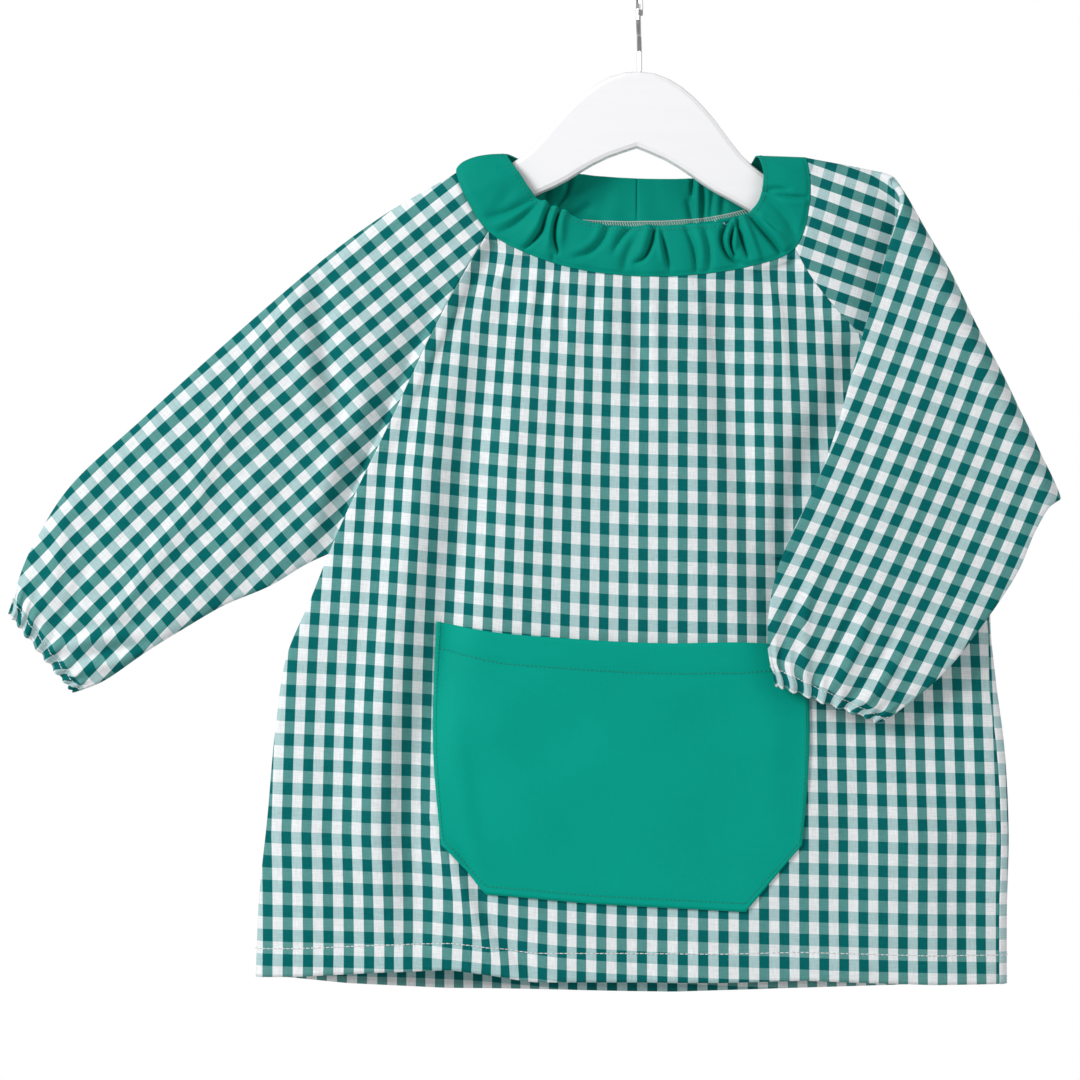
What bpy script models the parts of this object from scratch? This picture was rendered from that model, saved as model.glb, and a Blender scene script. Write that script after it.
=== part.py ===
"""A child's raglan school smock on a wooden hanger.

The smock hangs from the hook: +Z up, the front to -Y, the origin at the top of the hook's inside.
All sizes are millimetres until a mesh is made. The cloth is worked out as one welded middle surface:
the neck seam, the raglan seams and the side seams are shared by the pieces that meet there. Each
piece is then given its thickness along the normals of that surface, so that two edges face each
other squarely across a seam.
"""

from collections import namedtuple

import bmesh
import bpy
import numpy as np
from mathutils.bvhtree import BVHTree

MM = 0.001

# Cloth
CLOTH = 1.5
BAND_CLOTH = 2.4
SEAM_GAP = 0.36
LAYER_GAP = 0.45

# How far the front and the back stand from the middle plane
NECK_DEPTH = 9.0
CHEST_DEPTH = 8.5
BODY_DEPTHS = [(0, NECK_DEPTH), (0.15, CHEST_DEPTH), (0.6, CHEST_DEPTH), (1, 12)]
ROUNDNESS = 0.5

# Cells across and down each piece
FRONT_CELLS = 32
BACK_CELLS = 20
SHOULDER_CELLS = 4
RAGLAN_ROWS = 16
SIDE_ROWS = 13
RAGLAN_SHARE = 0.46

# The neck band as a closed ring of stations, from the shoulder fold on the wearer's right, across the
# front, and back round behind. Each has its place on the neck seam and on the band's top edge.
NeckStation = namedtuple("NeckStation", "seam_x seam_z edge_x edge_z side")
NECK = [
    NeckStation(-110, -117, -80, -106, 0),
    NeckStation(-105, -132, -73, -117, -1),
    NeckStation(-91, -153, -63, -131, -1),
    NeckStation(-66, -167, -48, -140, -1),
    NeckStation(-36, -176, -28, -148, -1),
    NeckStation(0, -180, 0, -150, -1),
    NeckStation(34, -179, 26, -149, -1),
    NeckStation(66, -174, 52, -147, -1),
    NeckStation(93, -163, 69, -138, -1),
    NeckStation(102, -134, 74, -121, -1),
    NeckStation(100, -108, 71, -107, 0),
    NeckStation(96, -122, 67, -111, 1),
    NeckStation(84, -136, 56, -116, 1),
    NeckStation(45, -147, 30, -119, 1),
    NeckStation(0, -150, 0, -119, 1),
    NeckStation(-45, -148, -30, -117, 1),
    NeckStation(-86, -139, -58, -113, 1),
    NeckStation(-103, -127, -71, -108, 1),
]
RIGHT_FOLD, RIGHT_FRONT, LEFT_FRONT, LEFT_FOLD, LEFT_BACK, RIGHT_BACK = 0, 2, 8, 10, 12, 16
BAND_ROWS = 5

# Neck gathers: how many waves, and how far and how often their spacing drifts. Their height varies by
# GATHER_UNEVEN round the ring, and they are BAND_SWELL times as high at the band's top edge.
Gathers = namedtuple("Gathers", "count drift beats")
FRONT_GATHERS = Gathers(10, 0.9, 7)
BACK_GATHERS = Gathers(8, 0.7, 9)
GATHER_HEIGHT = 1.0
GATHER_UNEVEN = 0.3
GATHER_BEAT = 2.3
BAND_SWELL = 1.6

# How fast the neck's sag and its gathers die away down the body, how late the hem's dip sets in, and
# the fraction of the body by which its columns crowd towards the sides
SAG_FADE = 2
GATHER_FADE = 7
DIP_FADE = 6
ROUND_BY = 0.5

# Seams of the body, seen from the front, from the neck band down. right and left are the wearer's.
RIGHT_RAGLAN = [(-91, -153), (-107, -180), (-125, -214), (-148, -263), (-175, -319), (-187, -346)]
RIGHT_SIDE = [
    (-187, -346), (-198, -374), (-212, -407), (-219, -451), (-224, -505), (-229, -554), (-231, -601),
]
LEFT_RAGLAN = [(93, -163), (102, -179), (115, -196), (136, -219), (178, -279), (218, -341)]
LEFT_SIDE = [
    (218, -341), (212, -366), (211, -386), (214, -422), (219, -460), (222, -514), (221, -561), (221, -605),
]

# The left side seam rolls forward by this angle over this many rows below the underarm
SEAM_ROLL = 0.21
ROLL_LENGTH = 5

# The hem's drop below a straight line between the side seams, at fractions from the right one
FRONT_HEM_DIP = [
    (0, 0), (0.06, -1), (0.16, -4), (0.26, -6), (0.32, -2.7), (0.37, 0.6), (0.62, 0), (0.73, -1.7),
    (0.9, 0.5), (1, 0),
]
BACK_HEM_DIP = [(0, 0), (0.06, 2.7), (0.12, 5.4), (0.25, 7.8), (0.56, 9.2), (0.76, 5.4), (0.96, 1.4), (1, 0)]

# Cross lines of a sleeve laid flat: its top edge, its underarm edge, its half depth, and the rows of
# cells that lead to it from the line before.
SleeveLine = namedtuple("SleeveLine", "top_x top_z under_x under_z depth rows")
RIGHT_SLEEVE = [
    SleeveLine(-159, -146, -202, -353, 8, 3),
    SleeveLine(-208, -184, -226, -367, 7, 3),
    SleeveLine(-256, -226, -250, -377, 6.5, 2),
    SleeveLine(-300, -266, -271, -389, 6, 2),
    SleeveLine(-342, -305, -297, -405, 6, 2),
    SleeveLine(-365, -341, -320, -421, 5.5, 2),
    SleeveLine(-380, -382, -341, -430, 5, 3),
]
LEFT_SLEEVE = [
    SleeveLine(146, -117, 251, -315, 4, 4),
    SleeveLine(175, -130, 284, -307, 3.5, 7),
    SleeveLine(244, -154, 313, -313, 3.5, 3),
    SleeveLine(321, -181, 351, -314, 3.5, 3),
    SleeveLine(396, -197, 391, -311, 3.5, 3),
    SleeveLine(430, -215, 420, -303, 4, 2),
    SleeveLine(450, -235, 432, -298, 4.5, 2),
]
RIGHT_ARMHOLE_ROWS = 6
LEFT_ARMHOLE_ROWS = 4
CUFF_GATHERS = 10
RIGHT_CUFF_HEIGHT = 1.6
LEFT_CUFF_HEIGHT = 1.2
CUFF_GATHER_LENGTH = 0.14

# The wearer's left sleeve is folded forward over a straight line, round a soft edge.
FOLD_START = (143.4, -126.1)
FOLD_DIRECTION = (0.4576, -0.8892)
FOLD_RADIUS = 9.6

# Soft creases: a ridge between two points of the front, its width and its height.
Crease = namedtuple("Crease", "x1 z1 x2 z2 width height")
CREASES = [
    Crease(-74, -165, -92, -194, 7, 1.6),
    Crease(-49, -172, -52, -206, 6, 1.6),
    Crease(74, -171, 88, -232, 8, 1.4),
    Crease(-111, -575, -66, -602, 8, 1.5),
    Crease(-212, -190, -247, -252, 12, 2.4),
    Crease(-252, -262, -271, -312, 12, 2.4),
    Crease(-276, -320, -310, -376, 10, 2.0),
]

# Pocket: its edges on the front panel from the wearer's right to left, and the cells along each
# stretch of its lower edge. Its side edges bow out and its top stands a little off the panel.
POCKET_TOP = [(-123, -387), (-91, -393), (-46, -397), (14, -400), (70, -400), (100, -403)]
PocketCorner = namedtuple("PocketCorner", "x z cells")
POCKET_FOOT = [
    PocketCorner(-119, -521, 0),
    PocketCorner(-92, -550.5, 3),
    PocketCorner(-31, -556, 4),
    PocketCorner(63, -561, 6),
    PocketCorner(97, -521, 3),
]
POCKET_ROWS = 9
POCKET_BOW = 3.0
POCKET_FULLNESS = 1.6
IN_FRONT = -100

# Hanger: half of the outline, from the middle of the top round the arm's end to the middle below
HANGER_HALF = [
    (0, -56), (10, -57), (22, -62), (33, -70), (45, -82), (57, -97), (66, -107), (76, -114.5),
    (100, -124.2), (125, -135.8), (142, -146.2), (149, -153), (151, -159.5), (145, -166), (130, -166.5),
    (95, -152), (60, -133), (44, -125), (32, -117), (18, -109), (0, -102),
]
HANGER_THICKNESS = 10.0
HANGER_BEVEL = 3.0
HANGER_TILT = -2.0
HANGER_POINTS = 40

# Hook: a wire crook on a straight stem, turned edge-on
HOOK_WIRE = 1.5
HOOK_RADIUS = 18.5
HOOK_FOOT = -55.7
HOOK_STEM_TOP = -44.0
HOOK_FROM, HOOK_TO = -70.0, 205.0
HOOK_POINTS = 26
HOOK_BEND = (0.3, 0.5)

SHARP_EDGE = np.radians(40)
BEVELLED_EDGE = np.radians(50)
MITRE_LIMIT = 3.0
UNDERARM_PULL = 3.0

GINGHAM = (0.5, 0.68, 0.65, 1)
PLAIN_GREEN = (0.0, 0.32, 0.23, 1)
WHITE_PAINT = (0.82, 0.83, 0.82, 1)
STEEL = (0.75, 0.76, 0.77, 1)


def along(points, at):
    """The points at the fractions at of the way along a smooth curve through points."""
    points = np.asarray(points, float)
    at = np.asarray(at, float)
    knots = np.concatenate([[0], np.cumsum(np.linalg.norm(np.diff(points, axis=0), axis=1))])
    knots /= knots[-1]
    slopes = np.gradient(points, knots, axis=0)
    i = np.clip(np.searchsorted(knots, at, side="right") - 1, 0, len(knots) - 2)
    step = (knots[i + 1] - knots[i])[:, None]
    t = (at - knots[i])[:, None] / step
    start, end = points[i], points[i + 1]
    leave, arrive = slopes[i] * step, slopes[i + 1] * step
    return (
        (1 + 2 * t) * (1 - t) ** 2 * start
        + t * (1 - t) ** 2 * leave
        + t**2 * (3 - 2 * t) * end
        + t**2 * (t - 1) * arrive
    )


def fade(at, length):
    """1 at the start, 0 from length on, smooth between."""
    t = np.clip(np.asarray(at, float) / length, 0, 1)
    return 1 - t * t * (3 - 2 * t)


def crowded(u):
    """Fractions across a piece, closer together towards both edges, where the cloth rounds over."""
    return (1 - np.cos(np.pi * u)) / 2


def swell(w):
    """How full a flat hollow form is at a fraction w of its width: 0 at its edges, 1 in the middle."""
    return (4 * np.clip(w * (1 - w), 0, 0.25)) ** (ROUNDNESS / 2)


def crease_height(x, z):
    """The height of the creases of the front at x, z."""
    total = np.zeros_like(x)
    for crease in CREASES:
        run_x, run_z = crease.x2 - crease.x1, crease.z2 - crease.z1
        t = ((x - crease.x1) * run_x + (z - crease.z1) * run_z) / (run_x**2 + run_z**2)
        inside = np.clip(t, 0, 1)
        away = np.hypot(x - crease.x1 - inside * run_x, z - crease.z1 - inside * run_z)
        total += crease.height * np.exp(-((away / crease.width) ** 2))
    return total


# The neck ring


def neck_places():
    """Station numbers of the ring's points: front shoulder, front, back shoulder, back, and so on."""
    near_fold = 1 - np.cos(np.pi / 2 * np.arange(SHOULDER_CELLS + 1) / SHOULDER_CELLS)
    out = 2 * near_fold
    back = 2 - out[::-1]
    front = np.linspace(RIGHT_FRONT, LEFT_FRONT, FRONT_CELLS + 1)
    behind = np.linspace(LEFT_BACK, RIGHT_BACK, BACK_CELLS + 1)
    return np.concatenate([
        out[:-1], front[:-1], LEFT_FRONT + back[:-1], LEFT_FOLD + out[:-1], behind[:-1], RIGHT_BACK + back[:-1],
    ])


def ring_curve(columns, places):
    """A closed smooth curve through the stations, read at station numbers. Rows are x, depth and z."""
    stations = np.array([[s[columns[0]], NECK_DEPTH * s.side, s[columns[1]]] for s in NECK], float)
    count = len(stations)
    i = np.floor(places).astype(int)
    t = (places - i)[:, None]
    before, start, end, after = (stations[(i + k) % count] for k in (-1, 0, 1, 2))
    ring = 0.5 * (
        2 * start
        + (end - before) * t
        + (2 * before - 5 * start + 4 * end - after) * t**2
        + (3 * start - before - 3 * end + after) * t**3
    )
    full = np.clip(abs(ring[:, 1]) / NECK_DEPTH, 0, 1)
    ring[:, 1] = np.sign(ring[:, 1]) * NECK_DEPTH * full**ROUNDNESS
    return ring


def gathers(places):
    """The uneven waves that the elastic draws up, 0 where the sleeves join."""
    wave = np.zeros_like(places)
    for start, end, kind in ((RIGHT_FRONT, LEFT_FRONT, FRONT_GATHERS), (LEFT_BACK, RIGHT_BACK, BACK_GATHERS)):
        at = np.clip((places - start) / (end - start), 0, 1)
        phase = 2 * np.pi * kind.count * at + kind.drift * np.sin(kind.beats * at)
        wave += np.sin(phase) * np.sqrt(np.sin(np.pi * at))
    return GATHER_HEIGHT * wave * (1 + GATHER_UNEVEN * np.cos(GATHER_BEAT * places))


def neck_seam(places):
    seam = ring_curve((0, 1), places)
    seam[:, 1] += np.sign(seam[:, 1]) * gathers(places)
    return seam


def part_of_ring(points, places, first, last):
    """The points of the ring from one station to another, the last one included."""
    start = int(np.argmin(abs(places - first)))
    end = int(np.argmin(abs(places - last % len(NECK))))
    if end <= start:
        end += len(places)
    return points[np.arange(start, end + 1) % len(places)]


# The body


def row_fractions():
    """How far down its edges each row of the body lies, raglan rows first, then side rows."""
    raglan = np.sin(np.pi / 2 * np.arange(RAGLAN_ROWS + 1) / RAGLAN_ROWS)
    side = np.arange(1, SIDE_ROWS + 1) / SIDE_ROWS
    return raglan, side


def raglan_seam(points, start, side):
    """A raglan seam in depth, from the neck band to the underarm, where front and back close."""
    fractions, _ = row_fractions()
    flat = along(points, fractions)
    depth = side * NECK_DEPTH * (1 - fractions**3) ** ROUNDNESS
    seam = np.stack([flat[:, 0], depth, flat[:, 1]], axis=1)
    seam[0] = start
    return seam


def read_table(pairs, at):
    return np.interp(at, [pair[0] for pair in pairs], [pair[1] for pair in pairs])


def body_panel(side, top, right, left, hem_dip, cells):
    """The middle surface of the front (side -1) or the back (side 1), rows from the neck to the hem.

    Columns run in the ring's order: the front from the wearer's right to left, the back the other way.
    right and left are the raglan seams; below them the side seams follow the outlines RIGHT_SIDE and
    LEFT_SIDE, and the left one rolls forward past the edge.
    """
    raglan_fractions, side_fractions = row_fractions()
    row_down = np.concatenate([raglan_fractions * RAGLAN_SHARE, 1 - (1 - side_fractions) * (1 - RAGLAN_SHARE)])
    right_side = along(RIGHT_SIDE, side_fractions)
    left_side = along(LEFT_SIDE, side_fractions)
    u = np.linspace(0, 1, cells + 1)
    sag = top - (top[0] + (top[-1] - top[0]) * u[:, None])
    rows = [top]
    for row in range(1, RAGLAN_ROWS + SIDE_ROWS + 1):
        down = row_down[row]
        below = row - RAGLAN_ROWS
        if below <= 0:
            ends = np.array([right[row], left[row]])
            around = np.pi
        else:
            (right_x, right_z), (left_x, left_z) = right_side[below - 1], left_side[below - 1]
            ends = np.array([[right_x, 0, right_z], [left_x, 0, left_z]])
            around = np.pi - SEAM_ROLL * (1 - fade(below, ROLL_LENGTH))
        if side < 0:
            angle = around * u
            even = u
        else:
            angle = around + (2 * np.pi - around) * u
            even = 1 - u
        to_round = 1 - fade(down, ROUND_BY)
        across = even * (1 - to_round) + (1 - np.cos(angle)) / 2 * to_round
        points = ends[0] + (ends[1] - ends[0]) * across[:, None]
        turn = np.round(np.sin(angle), 9)
        full = -np.sign(turn) * abs(turn) ** ROUNDNESS
        points[:, 1] += (read_table(BODY_DEPTHS, down) - abs(points[:, 1])) * full
        points[:, [0, 2]] += sag[:, [0, 2]] * (1 - down) ** SAG_FADE
        points[:, 1] += sag[:, 1] * (1 - down) ** GATHER_FADE
        points[:, 2] -= read_table(hem_dip, across) * down**DIP_FADE
        rows.append(points)
    return np.array(rows)


# The sleeves


def sleeve_tube(armhole_front, armhole_back, lines, armhole_rows):
    """The middle surface of a sleeve laid flat, as rings from the armhole to the wrist.

    Both armhole halves run from the shoulder fold to the underarm. A ring goes down the front and up
    the back. The armhole's own shape fades over armhole_rows.
    """
    cells = len(armhole_front) - 1
    w = crowded(np.linspace(0, 1, cells + 1))
    stops = np.cumsum([0] + [line.rows for line in lines])
    count = stops[-1]
    shoulder, underarm = armhole_front[0], armhole_front[-1]
    tops = np.array([[shoulder[0], shoulder[2]]] + [[line.top_x, line.top_z] for line in lines])
    unders = np.array([[underarm[0], underarm[2]]] + [[line.under_x, line.under_z] for line in lines])
    depths = np.array([NECK_DEPTH] + [line.depth for line in lines])
    rows = np.arange(count + 1)
    top = smooth_rows(tops, stops, rows)
    under = smooth_rows(unders, stops, rows)
    depth = np.interp(rows, stops, depths)
    halves = []
    for side, armhole in ((-1, armhole_front), (1, armhole_back)):
        chord = top[0] + (under[0] - top[0]) * w[:, None]
        away = armhole[:, [0, 2]] - chord
        grid = np.zeros((count + 1, cells + 1, 3))
        for row in rows:
            near = fade(row, armhole_rows)
            flat = top[row] + (under[row] - top[row]) * w[:, None] + away * near
            grid[row, :, 0] = flat[:, 0]
            grid[row, :, 2] = flat[:, 1]
            own = side * depth[row] * swell(w)
            grid[row, :, 1] = armhole[:, 1] * near + own * (1 - near)
        halves.append(grid)
    return np.concatenate([halves[0][:, :-1], halves[1][:, :0:-1]], axis=1)


def smooth_rows(points, stops, rows):
    """A smooth curve through points, one for each stop, read at every row."""
    slopes = np.gradient(points, stops, axis=0)
    i = np.clip(np.searchsorted(stops, rows, side="right") - 1, 0, len(stops) - 2)
    step = (stops[i + 1] - stops[i])[:, None]
    t = (rows - stops[i])[:, None] / step
    return (
        (1 + 2 * t) * (1 - t) ** 2 * points[i]
        + t * (1 - t) ** 2 * step * slopes[i]
        + t**2 * (3 - 2 * t) * points[i + 1]
        + t**2 * (t - 1) * step * slopes[i + 1]
    )


def draw_up_cuff(ring, height):
    """Pushes the ring's last rows in and out by height, as the elastic at the wrist gathers them."""
    count, around = ring.shape[:2]
    half = around // 2
    place = np.arange(around)
    wave = np.cos(2 * np.pi * CUFF_GATHERS * place / half) * np.sqrt(abs(np.sin(np.pi * place / half)))
    down = np.arange(count) / (count - 1)
    near = 1 - fade(down - (1 - CUFF_GATHER_LENGTH), CUFF_GATHER_LENGTH)
    sides = np.where(place < half, -1, 1)
    ring[:, :, 1] += sides * wave * height * near[:, None]


def fold_forward(grid):
    """Bends what lies beyond the fold line forward and back over the front."""
    along_x, along_z = FOLD_DIRECTION
    out_x, out_z = -along_z, along_x
    beyond = (grid[..., 0] - FOLD_START[0]) * out_x + (grid[..., 2] - FOLD_START[1]) * out_z
    offset = grid[..., 1]
    half_turn = np.pi * FOLD_RADIUS
    angle = np.clip(beyond / FOLD_RADIUS, 0, np.pi)
    reach = np.where(
        beyond <= 0,
        beyond,
        np.where(beyond < half_turn, (FOLD_RADIUS + offset) * np.sin(angle), half_turn - beyond),
    )
    depth = np.where(beyond <= 0, offset, (FOLD_RADIUS + offset) * np.cos(angle) - FOLD_RADIUS)
    shift = reach - beyond
    return np.stack([grid[..., 0] + shift * out_x, depth, grid[..., 2] + shift * out_z], axis=-1)


# Walls


def shared_normals(grids):
    """The normal at every point of the welded middle surface, keyed by place."""
    total = {}
    for grid, closed in grids:
        joined = np.concatenate([grid, grid[:, :1]], axis=1) if closed else grid
        down = joined[1:, :] - joined[:-1, :]
        across = joined[:, 1:] - joined[:, :-1]
        for i, j in np.ndindex(joined.shape[0] - 1, joined.shape[1] - 1):
            face = np.cross(down[i, j] + down[i, j + 1], across[i, j] + across[i + 1, j])
            for corner in (joined[i, j], joined[i, j + 1], joined[i + 1, j], joined[i + 1, j + 1]):
                total[place_key(corner)] = total.get(place_key(corner), 0) + face
    return total


def place_key(point):
    return tuple(np.round(point, 4))


def normals_of(grid, total):
    normals = np.array([[total[place_key(point)] for point in row] for row in grid])
    return normals / np.linalg.norm(normals, axis=2, keepdims=True)


def pull_in(grid, normals, edges, closed):
    """Moves the edges that are seams half a seam gap into the piece, squarely to the seam.

    Where a seam turns sharply it moves further, like the point of a mitre. At the underarms, where three
    pieces meet, each moves straight towards its own inside.
    """
    moved = grid.copy()
    lines = {"top": (0, 1, 0), "bottom": (-1, -2, 0), "first": (0, 1, 1), "last": (-1, -2, 1)}
    for name in edges:
        at, inside, axis = lines[name]
        seam = np.take(grid, at, axis=axis)
        inward = np.take(grid, inside, axis=axis) - seam
        if closed:
            before, after = np.roll(seam, 1, axis=0), np.roll(seam, -1, axis=0)
        else:
            before, after = np.vstack([seam[:1], seam[:-1]]), np.vstack([seam[1:], seam[-1:]])
        run = after - before
        legs = np.linalg.norm(seam - before, axis=1) + np.linalg.norm(after - seam, axis=1)
        mitre = np.clip(legs / np.linalg.norm(run, axis=1), 1, MITRE_LIMIT)
        across = np.cross(run, np.take(normals, at, axis=axis))
        across *= np.sign(np.sum(across * inward, axis=1, keepdims=True))
        for x, z in (RIGHT_RAGLAN[-1], LEFT_RAGLAN[-1]):
            at_underarm = np.linalg.norm(seam - (x, 0, z), axis=1) < SEAM_GAP
            across[at_underarm] = inward[at_underarm]
            mitre[at_underarm] = UNDERARM_PULL
        across *= mitre[:, None] / np.linalg.norm(across, axis=1, keepdims=True)
        if axis == 0:
            moved[at] += across * SEAM_GAP / 2
        else:
            moved[:, at] += across * SEAM_GAP / 2
    return moved


def wall(name, grid, normals, thickness, closed, material):
    """A wall of that thickness about the grid. closed joins its last column to its first."""
    rows, columns = grid.shape[:2]
    work = bmesh.new()
    sides = []
    for offset in (thickness / 2, -thickness / 2):
        points = (grid + normals * offset).reshape(-1, 3) * MM
        sides.append([work.verts.new(point) for point in points])
    outer, inner = sides
    spans = [(j, (j + 1) % columns) for j in range(columns if closed else columns - 1)]
    for i in range(rows - 1):
        for j, k in spans:
            a, b, c, d = i * columns + j, i * columns + k, (i + 1) * columns + k, (i + 1) * columns + j
            work.faces.new([outer[a], outer[d], outer[c], outer[b]])
            work.faces.new([inner[a], inner[b], inner[c], inner[d]])
    for j, k in spans:
        for base, order in ((0, 1), ((rows - 1) * columns, -1)):
            rim = [outer[base + j], outer[base + k], inner[base + k], inner[base + j]]
            work.faces.new(rim[::order])
    if not closed:
        for i in range(rows - 1):
            for at, order in ((0, -1), (columns - 1, 1)):
                a, d = i * columns + at, (i + 1) * columns + at
                work.faces.new([outer[a], outer[d], inner[d], inner[a]][::order])
    bmesh.ops.recalc_face_normals(work, faces=work.faces)
    return finish(name, work, material)


def finish(name, work, material):
    mesh = bpy.data.meshes.new(name)
    work.to_mesh(mesh)
    work.free()
    mesh.shade_smooth()
    mesh.set_sharp_from_angle(angle=SHARP_EDGE)
    mesh.materials.append(material)
    thing = bpy.data.objects.new(name, mesh)
    bpy.context.scene.collection.objects.link(thing)
    return thing


def paint(name, colour, roughness, metallic=0.0):
    material = bpy.data.materials.new(name)
    material.use_nodes = True
    surface = material.node_tree.nodes["Principled BSDF"]
    surface.inputs["Base Color"].default_value = colour
    surface.inputs["Roughness"].default_value = roughness
    surface.inputs["Metallic"].default_value = metallic
    return material


# The pieces


def cloth_surfaces():
    """The middle surface of each piece of the smock but the pocket."""
    places = neck_places()
    seam = neck_seam(places)
    top_edge = ring_curve((2, 3), places)
    top_edge[:, 1] += np.sign(top_edge[:, 1]) * gathers(places) * BAND_SWELL
    front_top = part_of_ring(seam, places, RIGHT_FRONT, LEFT_FRONT)
    back_top = part_of_ring(seam, places, LEFT_BACK, RIGHT_BACK)
    right_front = raglan_seam(RIGHT_RAGLAN, front_top[0], -1)
    left_front = raglan_seam(LEFT_RAGLAN, front_top[-1], -1)
    right_back = raglan_seam([back_top[-1][[0, 2]]] + RIGHT_RAGLAN[2:], back_top[-1], 1)
    left_back = raglan_seam([back_top[0][[0, 2]]] + LEFT_RAGLAN[3:], back_top[0], 1)
    for front, back in ((right_front, right_back), (left_front, left_back)):
        back[-1] = front[-1]
    body_front = body_panel(-1, front_top, right_front, left_front, FRONT_HEM_DIP, FRONT_CELLS)
    body_back = body_panel(1, back_top, right_back, left_back, BACK_HEM_DIP, BACK_CELLS)
    body_back[RAGLAN_ROWS:, 0] = body_front[RAGLAN_ROWS:, -1]
    body_back[RAGLAN_ROWS:, -1] = body_front[RAGLAN_ROWS:, 0]
    right_armhole = [
        np.concatenate([part_of_ring(seam, places, RIGHT_FOLD, RIGHT_FRONT), right_front[1:]]),
        np.concatenate([part_of_ring(seam, places, RIGHT_BACK, len(NECK))[::-1], right_back[1:]]),
    ]
    left_armhole = [
        np.concatenate([part_of_ring(seam, places, LEFT_FRONT, LEFT_FOLD)[::-1], left_front[1:]]),
        np.concatenate([part_of_ring(seam, places, LEFT_FOLD, LEFT_BACK), left_back[1:]]),
    ]
    sleeve_right = sleeve_tube(*right_armhole, RIGHT_SLEEVE, RIGHT_ARMHOLE_ROWS)
    sleeve_left = sleeve_tube(*left_armhole, LEFT_SLEEVE, LEFT_ARMHOLE_ROWS)
    for grid in (body_front, sleeve_right[:, : sleeve_right.shape[1] // 2]):
        grid[..., 1] -= crease_height(grid[..., 0], grid[..., 2]) * np.clip(-grid[..., 1] / CHEST_DEPTH, 0, 1)
    draw_up_cuff(sleeve_right, RIGHT_CUFF_HEIGHT)
    draw_up_cuff(sleeve_left, LEFT_CUFF_HEIGHT)
    sleeve_left = fold_forward(sleeve_left)[:, ::-1]
    up = np.linspace(0, 1, BAND_ROWS)[:, None, None]
    collar = (seam + (top_edge - seam) * up)[::-1]
    return {
        "body_front": (body_front, False, CLOTH, ("top", "first", "last")),
        "body_back": (body_back, False, CLOTH, ("top", "first", "last")),
        "sleeve_right": (sleeve_right, True, CLOTH, ("top",)),
        "sleeve_left": (sleeve_left, True, CLOTH, ("top",)),
        "collar": (collar, True, BAND_CLOTH, ("bottom",)),
    }


def make_cloth(gingham, green):
    surfaces = cloth_surfaces()
    made = {}
    total = shared_normals([(grid, closed) for grid, closed, _, _ in surfaces.values()])
    for name, (grid, closed, thickness, edges) in surfaces.items():
        normals = normals_of(grid, total)
        material = green if name == "collar" else gingham
        made[name] = wall(name, pull_in(grid, normals, edges, closed), normals, thickness, closed, material)
    return made


def make_pocket(panel, material):
    """A patch pocket on the panel: its points are found on the panel's face and moved out."""
    foot = [[POCKET_FOOT[0][:2]]]
    for corner, after in zip(POCKET_FOOT, POCKET_FOOT[1:]):
        steps = np.linspace(0, 1, after.cells + 1)[1:, None]
        foot.append(np.array(corner[:2]) * (1 - steps) + np.array(after[:2]) * steps)
    foot = np.concatenate(foot)
    columns = len(foot)
    u = np.linspace(0, 1, columns)
    top = along(POCKET_TOP, u)
    mesh = panel.data
    face = BVHTree.FromPolygons(
        [tuple(vertex.co / MM) for vertex in mesh.vertices],
        [tuple(polygon.vertices) for polygon in mesh.polygons],
    )
    grid = np.zeros((POCKET_ROWS + 1, columns, 3))
    normals = np.zeros_like(grid)
    for row, down in enumerate(np.linspace(0, 1, POCKET_ROWS + 1)):
        flat = top + (foot - top) * down
        flat[:, 0] += POCKET_BOW * np.sin(np.pi * down) * (2 * u - 1) ** 3
        full = POCKET_FULLNESS * np.sin(np.pi * u) * (1 - down) ** 0.5
        for column, (x, z) in enumerate(flat):
            place, normal, _, _ = face.ray_cast((x, IN_FRONT, z), (0, 1, 0))
            lift = LAYER_GAP + CLOTH / 2 + full[column]
            grid[row, column] = np.array(place) + np.array(normal) * lift
            normals[row, column] = normal
    wall("pocket", grid, normals, CLOTH, False, material)


def make_hanger(material):
    """A flat wooden hanger with rounded edges, cut to a symmetric outline, that hangs a little askew."""
    half = along(HANGER_HALF, np.linspace(0, 1, HANGER_POINTS))
    outline = np.concatenate([half, half[-2:0:-1] * [-1, 1]])
    work = bmesh.new()
    ends = []
    for y in (-HANGER_THICKNESS / 2, HANGER_THICKNESS / 2):
        ends.append([work.verts.new((x * MM, y * MM, (z - HANGER_HALF[0][1]) * MM)) for x, z in outline])
    front, back = ends
    work.faces.new(front)
    work.faces.new(back[::-1])
    count = len(outline)
    for i in range(count):
        work.faces.new([front[i], back[i], back[(i + 1) % count], front[(i + 1) % count]])
    bmesh.ops.recalc_face_normals(work, faces=work.faces)
    hanger = finish("hanger", work, material)
    hanger.location = (0, 0, HANGER_HALF[0][1] * MM)
    hanger.rotation_euler = (0, np.radians(-HANGER_TILT), 0)
    bevel = hanger.modifiers.new("rounded edges", "BEVEL")
    bevel.width = HANGER_BEVEL * MM
    bevel.segments = 2
    bevel.limit_method = "ANGLE"
    bevel.angle_limit = BEVELLED_EDGE


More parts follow.
